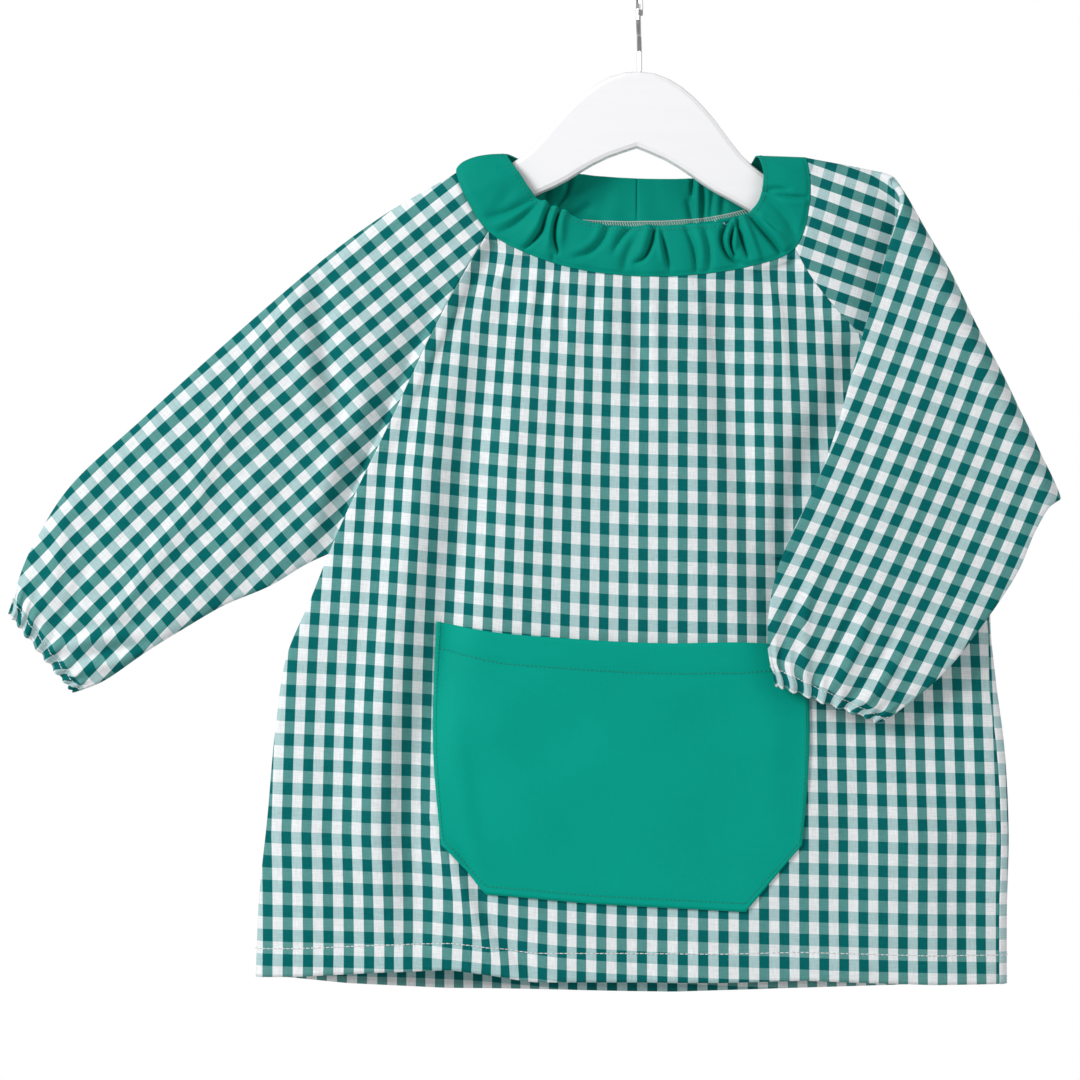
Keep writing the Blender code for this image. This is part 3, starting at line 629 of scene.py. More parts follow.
BACK_CREASES = [
    Crease([(-74, -150), (-84, -190), (-88, -232)], 4, 2.2),
    Crease([(-58, -152), (-66, -204)], 3.2, 2.0),
    Crease([(-50, -152), (-54, -186)], 2.4, -1.5),
    Crease([(-34, -152), (-36, -214)], 4, 1.7),
    Crease([(-18, -152), (-16, -190)], 3, -1.3),
    Crease([(-4, -152), (2, -230)], 5, 1.9),
    Crease([(16, -152), (22, -196)], 2.8, -1.4),
    Crease([(30, -151), (38, -222)], 4, 1.8),
    Crease([(52, -149), (64, -196)], 3, 1.8),
    Crease([(66, -144), (84, -190), (92, -240)], 4, 2.2),
    Crease([(-110, -210), (-128, -300), (-136, -392), (-128, -500)], 17, 5.2),
    Crease([(-82, -232), (-96, -320), (-90, -420)], 14, -3.2),
    Crease([(-40, -240), (-56, -340), (-44, -440)], 20, 2.2),
    Crease([(124, -216), (118, -310), (132, -400), (152, -505)], 16, 4.8),
    Crease([(86, -250), (82, -350), (96, -450)], 14, -3.0),
    Crease([(30, -250), (22, -360), (38, -470)], 22, -2.0),
    Crease([(-190, -420), (-196, -500), (-204, -592)], 12, 2.6),
    Crease([(-160, -470), (-164, -540), (-156, -602)], 10, -2.0),
    Crease([(-60, -480), (-84, -540), (-92, -602)], 14, 2.6),
    Crease([(60, -500), (84, -560), (88, -606)], 13, 2.4),
    Crease([(176, -440), (186, -520), (190, -600)], 11, 2.2),
]

# Folds of the neck band's front, and of its back as seen inside the neck
BAND_CREASES = [
    Crease([(-98, -118), (-84, -114), (-74, -118)], 4, -0.9),
    Crease([(-76, -126), (-83, -136), (-89, -144)], 4, -1.0),
    Crease([(-59, -130), (-71, -137.6), (-83, -143.2), (-93, -145)], 2.9, -3.0),
    Crease([(-60, -132), (-72, -141), (-86, -148)], 2.2, 1.4),
    Crease([(-60, -133.5), (-68.5, -143.2), (-77, -150.3), (-86, -154)], 2.6, -2.6),
    Crease([(-53, -131), (-60, -146), (-67, -157)], 2.8, 2.4),
    Crease([(-51.5, -131), (-57.2, -144.6), (-59, -152), (-62.5, -157), (-70, -164)], 1.6, -4.8),
    Crease([(-48.5, -137), (-54.4, -151.7), (-55.3, -163)], 2.0, 2.8),
    Crease([(-47, -137), (-50.8, -148), (-51.3, -157), (-49, -166)], 1.2, -7.0),
    Crease([(-43, -137), (-47, -149), (-47.2, -160)], 2.2, 2.2),
    Crease([(-52.4, -166), (-52, -174)], 1.5, -1.3),
    Crease([(-17, -146), (-23.5, -159), (-31, -166), (-41, -169)], 2.4, -2.9),
    Crease([(-23, -148), (-29, -160), (-38, -165)], 2.6, 1.1),
    Crease([(-2, -146), (-12, -157.4), (-16, -166)], 2.2, -3.2),
    Crease([(-3, -158), (-8, -168), (-10, -177)], 2.8, -2.0),
    Crease([(6, -148), (2.5, -158), (-1, -168)], 2.6, 1.9),
    Crease([(9.5, -146), (6.4, -161), (2.2, -169), (-3, -172)], 1.6, -5.2),
    Crease([(11, -149), (12, -161), (14, -172)], 2.0, 2.3),
    Crease([(11.5, -149), (15, -164.4), (18.5, -177)], 1.7, -3.4),
    Crease([(27, -149), (32.5, -165), (34, -180)], 1.9, -2.8),
    Crease([(33, -149), (36.5, -162), (37, -177)], 2.4, 1.5),
    Crease([(39, -150), (41.5, -164), (42, -178)], 2.1, -2.4),
    Crease([(53, -145), (49.2, -156), (50, -162), (54, -169), (61, -173)], 1.7, -5.6),
    Crease([(56, -146), (51.8, -158), (54.2, -169)], 1.3, 2.4),
    Crease([(56.8, -149), (54.4, -161), (57.5, -169)], 1.2, -4.8),
    Crease([(56.5, -143), (57.2, -153), (57, -164)], 1.2, 2.9),
    Crease([(57.5, -146), (61.5, -160), (65, -169)], 1.4, -4.6),
    Crease([(61, -144), (67, -159), (72, -171)], 2.1, 2.5),
    Crease([(64.5, -141), (74.6, -154), (80.5, -161), (86.5, -169)], 1.9, -4.8),
    Crease([(71, -142), (81, -154), (89, -165)], 2.8, 1.8),
    Crease([(74, -146), (83, -153.5)], 1.3, -1.6),
    Crease([(74, -131), (83.4, -139.8), (89, -147), (94, -159)], 3.2, -2.4),
    Crease([(70, -128.4), (80.5, -127.2), (90, -128)], 1.4, -2.2),
    Crease([(72, -130.4), (84, -130.6)], 1.5, 0.8),
    Crease([(75, -128.8), (87, -132), (106, -133)], 1.5, -2.4),
    Crease([(84, -134.6), (104, -136)], 2.0, 0.9),
    Crease([(78, -112), (90, -116), (99, -114)], 4, 0.8),
]
INNER_BAND_CREASES = [
    Crease([(-30, -113), (-43, -124), (-47, -134), (-50, -142)], 2.4, -1.4),
    Crease([(-41, -118), (-45, -129), (-50, -136)], 1.8, 4.0),
    Crease([(-56, -122), (-58, -134)], 3.5, 2.0),
    Crease([(-48, -145), (-36, -140), (-29, -134)], 3.6, 3.2),
    Crease([(-22, -118), (-20, -132), (-23, -148)], 7, 0.9),
    Crease([(-1.2, -112), (-1.2, -150)], 0.55, 1.3),
    Crease([(12, -120), (16, -135), (14, -148)], 6, -0.6),
    Crease([(33, -116), (32, -130)], 1.5, 2.8),
    Crease([(29.5, -131), (33, -148)], 2.2, 2.2),
    Crease([(38.5, -119), (39.5, -131), (38.5, -148)], 2.0, 3.0),
    Crease([(36, -118), (35.5, -134), (36, -146)], 1.5, -1.0),
    Crease([(45, -126), (43.2, -147)], 2.2, 2.2),
    Crease([(52, -128), (50, -145)], 2.6, 1.6),
    Crease([(-70, -116), (-74, -134)], 3, 1.4),
    Crease([(66, -118), (70, -134)], 3, 1.4),
]

# The pocket's top edge, the corners of its sides and foot with the cells between them, how far its
# sides bow, and how far it stands off the front in its middle
POCKET_TOP = [(-123, -387), (-91, -393), (-46, -397), (14, -400), (70, -400), (100, -403)]
PocketCorner = namedtuple("PocketCorner", "x z cells")
POCKET_FOOT = [
    PocketCorner(-119, -521, 0),
    PocketCorner(-92, -550.5, 18),
    PocketCorner(-31, -556, 24),
    PocketCorner(63, -561, 36),
    PocketCorner(97, -521, 18),
]
POCKET_ROWS = 64
POCKET_BOW = 3.0
POCKET_FULLNESS = 1.6

# Where the rays start that find the pocket's place on the front
IN_FRONT = -100

# Curves and soft steps


def along(points, at):
    """The points at the fractions at of the way along a smooth curve through points."""
    points = np.asarray(points, float)
    at = np.asarray(at, float)
    knots = np.concatenate([[0], np.cumsum(np.linalg.norm(np.diff(points, axis=0), axis=1))])
    return smooth_rows(points, knots / knots[-1], at)


def smooth_rows(points, stops, rows):
    """A smooth curve through points, one for each stop, read at every row."""
    slopes = np.gradient(points, stops, axis=0)
    i = np.clip(np.searchsorted(stops, rows, side="right") - 1, 0, len(stops) - 2)
    step = (stops[i + 1] - stops[i])[:, None]
    t = (rows - stops[i])[:, None] / step
    return (
        (1 + 2 * t) * (1 - t) ** 2 * points[i]
        + t * (1 - t) ** 2 * step * slopes[i]
        + t**2 * (3 - 2 * t) * points[i + 1]
        + t**2 * (t - 1) * step * slopes[i + 1]
    )


def fade(at, length):
    """1 at the start, 0 from length on, smooth between."""
    t = np.clip(np.asarray(at, float) / length, 0, 1)
    return 1 - t * t * (3 - 2 * t)


def up_to(at, edge, blur):
    """1 before the edge and 0 past it, with a soft change between."""
    return (1 - np.tanh((at - edge) / blur)) / 2


def crowded(u):
    """Even fractions moved together towards 0 and 1."""
    return (1 - np.cos(np.pi * u)) / 2


def swell(w):
    """How full a flat hollow form is at a fraction w of its width."""
    return (4 * np.clip(w * (1 - w), 0, 0.25)) ** (ROUNDNESS / 2)


def read_table(pairs, at):
    return np.interp(at, [pair[0] for pair in pairs], [pair[1] for pair in pairs])


# Creases

# Straight steps in each leg of a crease's path, how high it still is at its ends, how blunt they are,
# and how many of its widths away it still draws the cloth in
STEPS_PER_LEG = 6
CREASE_ENDS = 0.08
CREASE_TAPER = 0.6
TUCK_REACH = 4

# The slow unevenness of cloth that lies without being ironed flat: waves that drift to and fro
Wave = namedtuple("Wave", "height across down drift drift_across drift_down")
UNDULATION = [
    Wave(0.35, 1 / 17, 0, 0.8, 0, 1 / 41),
    Wave(0.3, 1 / 57, 1 / 23, 1.3, 1 / 33, 0),
    Wave(0.22, 1 / 13.5, -1 / 13.5, 1, 0, 1 / 29),
]


def nearest_on(crease, x, z):
    """How far to the side of a crease each place lies, at what part of its way, and which way is aside."""
    path = along(crease.path, np.linspace(0, 1, STEPS_PER_LEG * (len(crease.path) - 1) + 1))
    distance = np.full(x.shape, np.inf)
    side = np.ones(x.shape)
    place = np.zeros(x.shape)
    toward = np.zeros(x.shape + (2,))
    done = 0.0
    for start, end in zip(path, path[1:]):
        run_x, run_z = end - start
        length = np.hypot(run_x, run_z)
        t = np.clip(((x - start[0]) * run_x + (z - start[1]) * run_z) / length**2, 0, 1)
        off_x, off_z = x - start[0] - t * run_x, z - start[1] - t * run_z
        here = np.hypot(off_x, off_z)
        closer = here < distance
        distance = np.where(closer, here, distance)
        side = np.where(closer, np.sign(off_x * run_z - off_z * run_x), side)
        place = np.where(closer, done + t * length, place)
        toward[closer] = np.array([run_z, -run_x]) / length
        done += length
    return distance * side, place / done, toward


def taper(place):
    """A crease is highest in the middle of its way and dies away at both its ends."""
    return (CREASE_ENDS + 4 * (1 - CREASE_ENDS) * place * (1 - place)) ** CREASE_TAPER


def crease_height(creases, x, z):
    total = np.zeros_like(x)
    for crease in creases:
        aside, place, _ = nearest_on(crease, x, z)
        total += crease.height * np.exp(-((aside / crease.width) ** 2)) * taper(place)
    return total


def taken_up(creases, x, z):
    """How far the cloth on either side of the creases has been drawn to them, across and along."""
    moved = np.zeros(x.shape + (2,))
    for crease in creases:
        if crease.tuck:
            aside, place, toward = nearest_on(crease, x, z)
            near = np.exp(-((aside / crease.width / TUCK_REACH) ** 2)) * taper(place)
            moved += (crease.tuck / 2 * np.tanh(aside / crease.width) * near)[..., None] * toward
    return moved


def undulation(x, z):
    total = np.zeros_like(x)
    for wave in UNDULATION:
        drift = wave.drift * np.sin(x * wave.drift_across + z * wave.drift_down)
        total += wave.height * np.sin(x * wave.across + z * wave.down + drift)
    return total


# The flat cloth of each piece: where a place of the panel lies across and along the weave

# How far the gathers narrow the body's cloth at shares of its height, and less so near its centre
BODY_TOP, BODY_BOTTOM = -165, -603
SPREAD_CENTRE = 28
NARROWED = [(0, 0.85), (0.1, 0.885), (0.3, 0.93), (0.5, 0.955), (0.8, 0.995), (1, 1.0)]
NARROW_REACH = 100
NARROW_LEAST = 0.35

# The slope of the body's weft threads at places across it, in its upper and its lower half
WeftSlope = namedtuple("WeftSlope", "x upper lower")
WEFT_SLOPES = [
    WeftSlope(-240, 0.04, 0.0),
    WeftSlope(-168, 0.065, 0.02),
    WeftSlope(-132, 0.115, 0.035),
    WeftSlope(-96, 0.125, 0.085),
    WeftSlope(-60, 0.105, 0.10),
    WeftSlope(-24, 0.075, 0.07),
    WeftSlope(12, 0.03, 0.035),
    WeftSlope(48, 0.045, 0.04),
    WeftSlope(84, 0.045, 0.035),
    WeftSlope(160, 0.035, 0.03),
    WeftSlope(240, 0.03, 0.02),
]
SLOPE_SAMPLES = 241

# How far the warp threads swing out at the hem's two sides, and from where on
LEFT_SWING = 7
RIGHT_SWING = 3.6
SWING_FROM = 0.5
SWING_NEAR = 60
SWING_REACH = 120

# The middle of one dark check on the front
BODY_PHASE = (-33.0, -358.9)


def weft_drop(x, down):
    """How much lower a weft thread lies at x than at the middle."""
    at = np.linspace(WEFT_SLOPES[0].x, WEFT_SLOPES[-1].x, SLOPE_SAMPLES)
    drops = []
    for slopes in ([row.upper for row in WEFT_SLOPES], [row.lower for row in WEFT_SLOPES]):
        slope = np.interp(at, [row.x for row in WEFT_SLOPES], slopes)
        total = np.concatenate([[0], np.cumsum((slope[1:] + slope[:-1]) / 2 * np.diff(at))])
        drops.append(np.interp(x, at, total - np.interp(0, at, total)))
    lower = np.clip(2 * down - 1, 0, 1)
    return drops[0] * (1 - lower) + drops[1] * lower


def body_weave(x, z):
    """The body's cloth: it is narrower where it is gathered, and its threads swing out lower down."""
    down = np.clip((BODY_TOP - z) / (BODY_TOP - BODY_BOTTOM), 0, 1)
    from_centre = x - SPREAD_CENTRE
    swing = 1 - fade(down - SWING_FROM, 1 - SWING_FROM)
    to_left = np.clip((-from_centre - SWING_NEAR) / SWING_REACH, 0, 1)
    to_right = np.clip((from_centre - SWING_NEAR) / SWING_REACH, 0, 1)
    from_centre = from_centre - LEFT_SWING * swing * to_left + RIGHT_SWING * swing * to_right
    share = NARROW_LEAST + (1 - NARROW_LEAST) * np.clip(abs(from_centre) / NARROW_REACH, 0, 1)
    narrow = 1 - (1 - read_table(NARROWED, down)) * share
    return np.stack([from_centre / narrow, -z - weft_drop(x, down)], axis=-1)


SleeveGrain = namedtuple("SleeveGrain", "side start_x start_z warp_angle bend bend_at weft_angle close phase")
RIGHT_GRAIN = SleeveGrain(-1, -100, -120, 41.0, 0.0004, 150, 38.5, 1.035, (4.0, 0))
LEFT_GRAIN = SleeveGrain(1, 100, -115, 14.0, -0.0007, 170, 16.0, 1.012, (2.9, 7.0))


def sleeve_weave(grain, x, z):
    """The warp runs along the sleeve and bends a little. A side of -1 is a sleeve that runs to -X."""
    away = (x - grain.start_x) * grain.side
    up = z - grain.start_z
    warp, weft = np.radians(grain.warp_angle), np.radians(grain.weft_angle)
    across = -away * np.sin(warp) - up * np.cos(warp)
    run = away * np.cos(warp) - up * np.sin(warp)
    across = across - grain.bend * (run - grain.bend_at) ** 2 / 2
    down = away * np.cos(weft) - up * np.sin(weft)
    return np.stack([across + grain.phase[0], down * grain.close + grain.phase[1]], axis=-1)


# The middle surfaces, which share their seams' points as those of the solids do


def neck_places(finer=1):
    """Station numbers round the neck, closer together near the folded shoulders."""
    shoulder_cells = SHOULDER_CELLS * finer**2
    near_fold = 1 - np.cos(np.pi / 2 * np.arange(shoulder_cells + 1) / shoulder_cells)
    out = SHOULDER_SPAN * near_fold
    back = SHOULDER_SPAN - out[::-1]
    front = np.linspace(RIGHT_FRONT, LEFT_FRONT, FRONT_CELLS * finer + 1)
    behind = np.linspace(LEFT_BACK, RIGHT_BACK, BACK_CELLS * finer + 1)
    stretches = (out, front, LEFT_FRONT + back, LEFT_FOLD + out, behind, RIGHT_BACK + back)
    return np.concatenate([stretch[:-1] for stretch in stretches])


def ring_curve(columns, places):
    """A closed Catmull-Rom curve through the neck stations, read at station numbers, as x, y and z."""
    stations = np.array([[s[columns[0]], NECK_DEPTH * s.side, s[columns[1]]] for s in NECK], float)
    count = len(stations)
    i = np.floor(places).astype(int)
    t = (places - i)[:, None]
    before, start, end, after = (stations[(i + k) % count] for k in (-1, 0, 1, 2))
    ring = 0.5 * (
        2 * start
        + (end - before) * t
        + (2 * before - 5 * start + 4 * end - after) * t**2
        + (3 * start - before - 3 * end + after) * t**3
    )
    full = np.clip(abs(ring[:, 1]) / NECK_DEPTH, 0, 1)
    ring[:, 1] = np.sign(ring[:, 1]) * NECK_DEPTH * full**ROUNDNESS
    return ring


def gathers(places):
    """How far the gathered cloth stands out at places on the neck seam."""
    wave = np.zeros_like(places)
    for start, end, kind in ((RIGHT_FRONT, LEFT_FRONT, FRONT_GATHERS), (LEFT_BACK, RIGHT_BACK, BACK_GATHERS)):
        at = np.clip((places - start) / (end - start), 0, 1)
        phase = 2 * np.pi * kind.count * at + kind.drift * np.sin(kind.beats * at)
        wave += np.sin(phase) * np.sqrt(np.sin(np.pi * at))
    return GATHER_HEIGHT * wave * (1 + GATHER_UNEVEN * np.cos(GATHER_BEAT * places))


def part_of_ring(points, places, first, last):
    """The points of a closed ring from one station on to another."""
    start = int(np.argmin(abs(places - first)))
    end = int(np.argmin(abs(places - last % len(NECK))))
    if end <= start:
        end += len(places)
    return points[np.arange(start, end + 1) % len(places)]


def raglan_fractions():
    """Rows down a raglan seam, closer together towards the underarm."""
    return np.sin(np.pi / 2 * np.arange(RAGLAN_ROWS + 1) / RAGLAN_ROWS)


def raglan_seam(points, start, side):
    """A raglan seam from the neck to the underarm, where the front meets the back."""
    fractions = raglan_fractions()
    flat = along(points, fractions)
    depth = side * NECK_DEPTH * (1 - fractions**RAGLAN_FALL)
    seam = np.stack([flat[:, 0], depth, flat[:, 1]], axis=1)
    seam[0] = start
    return seam


def body_panel(side, top, right, left, hem_dip, cells):
    """The middle surface of the front (side -1) or the back (side 1), rows from the neck to the hem."""
    side_fractions = np.arange(1, SIDE_ROWS + 1) / SIDE_ROWS
    row_down = np.concatenate([
        raglan_fractions() * RAGLAN_SHARE, 1 - (1 - side_fractions) * (1 - RAGLAN_SHARE),
    ])
    right_side = along(RIGHT_SIDE, side_fractions)
    left_side = along(LEFT_SIDE, side_fractions)
    u = np.linspace(0, 1, cells + 1)
    sag = top - (top[0] + (top[-1] - top[0]) * u[:, None])
    rows = [top]
    for row in range(1, RAGLAN_ROWS + SIDE_ROWS + 1):
        down = row_down[row]
        below = row - RAGLAN_ROWS
        if below <= 0:
            ends = np.array([right[row], left[row]])
            around = np.pi
        else:
            (right_x, right_z), (left_x, left_z) = right_side[below - 1], left_side[below - 1]
            ends = np.array([[right_x, 0, right_z], [left_x, 0, left_z]])
            around = np.pi - SEAM_ROLL * (1 - fade(below / SIDE_ROWS, ROLL_LENGTH))
        if side < 0:
            angle = around * u
            even = u
        else:
            angle = around + (2 * np.pi - around) * u
            even = 1 - u
        to_round = 1 - fade(down, ROUND_BY)
        across = even * (1 - to_round) + (1 - np.cos(angle)) / 2 * to_round
        points = ends[0] + (ends[1] - ends[0]) * across[:, None]
        points[:, 1] *= np.exp(-((np.minimum(across, 1 - across) / EDGE_REACH) ** 2))
        # Rounded, so that a panel's own edges stay exactly on the seams
        turn = np.round(np.sin(angle), 9)
        full = -np.sign(turn) * abs(turn) ** ROUNDNESS
        points[:, 1] += (read_table(BODY_DEPTHS, down) - abs(points[:, 1])) * full
        points[:, [0, 2]] += sag[:, [0, 2]] * (1 - down) ** SAG_FADE
        points[:, 1] += sag[:, 1] * (1 - down) ** GATHER_FADE
        points[:, 2] -= read_table(hem_dip, across) * down**DIP_FADE
        rows.append(points)
    return np.array(rows)


def sleeve_halves(armhole_front, armhole_back, lines, armhole_lines):
    """The front and the back layer of a sleeve laid flat, from the armhole to the wrist."""
    cells = len(armhole_front) - 1
    w = crowded(np.linspace(0, 1, cells + 1))
    stops = np.cumsum([0] + [line.rows * ROWS_PER_LINE for line in lines])
    count = stops[-1]
    shoulder, underarm = armhole_front[0], armhole_front[-1]
    tops = np.array([[shoulder[0], shoulder[2]]] + [[line.top_x, line.top_z] for line in lines])
    unders = np.array([[underarm[0], underarm[2]]] + [[line.under_x, line.under_z] for line in lines])
    depths = np.array([NECK_DEPTH] + [line.depth for line in lines])
    rows = np.arange(count + 1)
    top = smooth_rows(tops, stops, rows)
    under = smooth_rows(unders, stops, rows)
    depth = np.interp(rows, stops, depths)
    halves = []
    for side, armhole in ((-1, armhole_front), (1, armhole_back)):
        chord = top[0] + (under[0] - top[0]) * w[:, None]
        away = armhole[:, [0, 2]] - chord
        grid = np.zeros((count + 1, cells + 1, 3))
        for row in rows:
            near = fade(row, armhole_lines * ROWS_PER_LINE)
            flat = top[row] + (under[row] - top[row]) * w[:, None] + away * near
            grid[row, :, 0] = flat[:, 0]
            grid[row, :, 2] = flat[:, 1]
            own = side * depth[row] * swell(w)
            grid[row, :, 1] = armhole[:, 1] * near + own * (1 - near)
        halves.append(grid)
    return halves


def fold_forward(grid):
    """Bends what lies beyond the fold line forward and back over the front."""
    along_x, along_z = FOLD_DIRECTION
    out_x, out_z = -along_z, along_x
    beyond = (grid[..., 0] - FOLD_START[0]) * out_x + (grid[..., 2] - FOLD_START[1]) * out_z
    offset = grid[..., 1]
    half_turn = np.pi * FOLD_RADIUS
    angle = np.clip(beyond / FOLD_RADIUS, 0, np.pi)
    reach = np.where(
        beyond <= 0,
        beyond,
        np.where(beyond < half_turn, (FOLD_RADIUS + offset) * np.sin(angle), half_turn - beyond),
    )
    depth = np.where(beyond <= 0, offset, (FOLD_RADIUS + offset) * np.cos(angle) - FOLD_RADIUS)
    shift = reach - beyond
    return np.stack([grid[..., 0] + shift * out_x, depth, grid[..., 2] + shift * out_z], axis=-1)


# Making and declaring a piece


def link(thing):
    """Puts a finished thing in the scene, on the smock's one body."""
    scene.collection.objects.link(thing)
    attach(thing, "root")
    return thing


def shell(name, grid, spans, thickness, material, closed=False):
    """A thin wall about the grid. spans holds the flat cloth at the start and the end of each column."""
    rows, columns = grid.shape[:2]
    at = np.arange(rows * columns).reshape(rows, columns)
    after = np.roll(at, -1, axis=1) if closed else at[:, 1:]
    before = at if closed else at[:, :-1]
    corners = np.stack([before[:-1], before[1:], after[1:], after[:-1]], axis=-1).reshape(-1, 4)
    mesh = bpy.data.meshes.new(name)
    mesh.from_pydata((grid.reshape(-1, 3) * MM).tolist(), [], corners.tolist())
    first, last = spans
    flat = np.stack([first[:-1], first[1:], last[1:], last[:-1]], axis=2).reshape(-1, 2)
    mesh.uv_layers.new(name="cloth").data.foreach_set("uv", flat.astype(np.float32).ravel())
    mesh.shade_smooth()
    mesh.materials.append(material)
    piece = bpy.data.objects.new(name, mesh)
    wall = piece.modifiers.new("cloth", "SOLIDIFY")
    wall.thickness = thickness * MM
    wall.offset = 0
    return link(piece)


def open_spans(flat):
    """The spans of a piece whose cloth runs on from column to column."""
    return flat[:, :-1], flat[:, 1:]


def normals_of(grid, closed=False):
    """The direction off the face at each place of a grid."""
    down = np.gradient(grid, axis=0)
    if closed:
        across = np.roll(grid, -1, axis=1) - np.roll(grid, 1, axis=1)
    else:
        across = np.gradient(grid, axis=1)
    normals = np.cross(down, across)
    return normals / np.linalg.norm(normals, axis=2, keepdims=True)


def edge_dip(distance, depth, reach):
    """How far cloth draws in beside a seam."""
    return -depth * np.exp(-((distance / reach) ** 2))


# The stitches

STITCH_SIDES = 6


def stitch_tree():
    """Geometry nodes that lay short round stitches along a curve."""
    tree = bpy.data.node_groups.new("stitches", "GeometryNodeTree")
    inputs = {"Curve": "NodeSocketGeometry", "Thread": "NodeSocketMaterial"}
    inputs |= dict.fromkeys(("Step", "Length", "Radius", "Slant"), "NodeSocketFloat")
    for name, kind in inputs.items():
        tree.interface.new_socket(name, in_out="INPUT", socket_type=kind)
    tree.interface.new_socket("Stitches", in_out="OUTPUT", socket_type="NodeSocketGeometry")
    enter = tree.nodes.new("NodeGroupInput")
    leave = tree.nodes.new("NodeGroupOutput")

    def add(kind, **settings):
        made = tree.nodes.new(kind)
        for key, value in settings.items():
            setattr(made, key, value)
        return made

    places = add("GeometryNodeResampleCurve", mode="LENGTH")
    tangent = add("GeometryNodeInputTangent")
    aim = add("FunctionNodeAlignRotationToVector", axis="Z")
    slanted = add("FunctionNodeRotateRotation", rotation_space="LOCAL")
    turned = add("ShaderNodeCombineXYZ")
    bar = add("GeometryNodeMeshCylinder")
    bar.inputs["Vertices"].default_value = STITCH_SIDES
    copies = add("GeometryNodeInstanceOnPoints")
    real = add("GeometryNodeRealizeInstances")
    coloured = add("GeometryNodeSetMaterial")
    to_rotation = add("FunctionNodeEulerToRotation")
    links = tree.links
    links.new(enter.outputs["Curve"], places.inputs["Curve"])
    links.new(enter.outputs["Step"], places.inputs["Length"])
    links.new(enter.outputs["Radius"], bar.inputs["Radius"])
    links.new(enter.outputs["Length"], bar.inputs["Depth"])
    links.new(tangent.outputs["Tangent"], aim.inputs["Vector"])
    links.new(enter.outputs["Slant"], turned.inputs["Y"])
    links.new(turned.outputs[0], to_rotation.inputs[0])
    links.new(aim.outputs["Rotation"], slanted.inputs["Rotation"])
    links.new(to_rotation.outputs[0], slanted.inputs["Rotate By"])
    links.new(places.outputs["Curve"], copies.inputs["Points"])
    links.new(bar.outputs["Mesh"], copies.inputs["Instance"])
    links.new(slanted.outputs["Rotation"], copies.inputs["Rotation"])
    links.new(copies.outputs["Instances"], real.inputs["Geometry"])
    links.new(real.outputs["Geometry"], coloured.inputs["Geometry"])
    links.new(enter.outputs["Thread"], coloured.inputs["Material"])
    links.new(coloured.outputs["Geometry"], leave.inputs["Stitches"])
    return tree


STITCHES = stitch_tree()


def stitch_row(name, path, stitch, thread, slant=0.0):
    """A row of stitches along a path of points in millimetres, made a plain mesh."""
    curve = bpy.data.curves.new(name + "_line", "CURVE")
    curve.dimensions = "3D"
    line = curve.splines.new("POLY")
    line.points.add(len(path) - 1)
    for point, place in zip(line.points, path):
        point.co = (*(np.asarray(place) * MM), 1)
    guide = bpy.data.objects.new(name + "_line", curve)
    scene.collection.objects.link(guide)
    maker = guide.modifiers.new("stitches", "NODES")
    maker.node_group = STITCHES
    values = {"Slant": slant, "Thread": thread}
    values |= {"Step": stitch.step * MM, "Length": stitch.length * MM, "Radius": stitch.radius * MM}
    for item in STITCHES.interface.items_tree:
        if item.in_out == "INPUT" and item.name in values:
            maker[item.identifier] = values[item.name]
    seen = guide.evaluated_get(bpy.context.evaluated_depsgraph_get())
    mesh = bpy.data.meshes.new_from_object(seen)
    bpy.data.objects.remove(guide)
    mesh.name = name
    mesh.shade_smooth()
    return link(bpy.data.objects.new(name, mesh))


def row_on(grid, normals, row, lift, columns=slice(None)):
    """The points of one row of a grid, between two of its rows if need be, lifted off its face."""
    first = int(np.floor(row))
    t = row - first
    points = grid[first] * (1 - t) + grid[min(first + 1, len(grid) - 1)] * t
    return (points + normals[first] * lift)[columns]


# The pieces

# The hem: how many rows of cells it is deep, how far it stands out, and how far its stitches draw in
HEM_ROWS = 6.8
HEM_RIDGE = 0.45
HEM_STEP = 0.8
HEM_DRAW = 0.5

# Beside a seam the cloth draws in this deep, as far as this from it
SEAM_DRAW = 0.8
SEAM_REACH = 2.2

# The body's relief dies away over this many cells at its top and at its sides
BODY_HELD_ROWS = 10
BODY_HELD_COLUMNS = 6

# How far the back's checks are out of step with the front's
BACK_OFFSET = (5.2, 6.4)

# A sleeve's creases stand full height where a layer is this deep. Its relief dies away over these rows
# at its top and this share of its width at its folds, and the armhole's seam draws in this far
SLEEVE_LEVEL = 4.0
SLEEVE_HELD_ROWS = 3
SLEEVE_HELD_SHARE = 0.04
ARMHOLE_REACH = 2.0

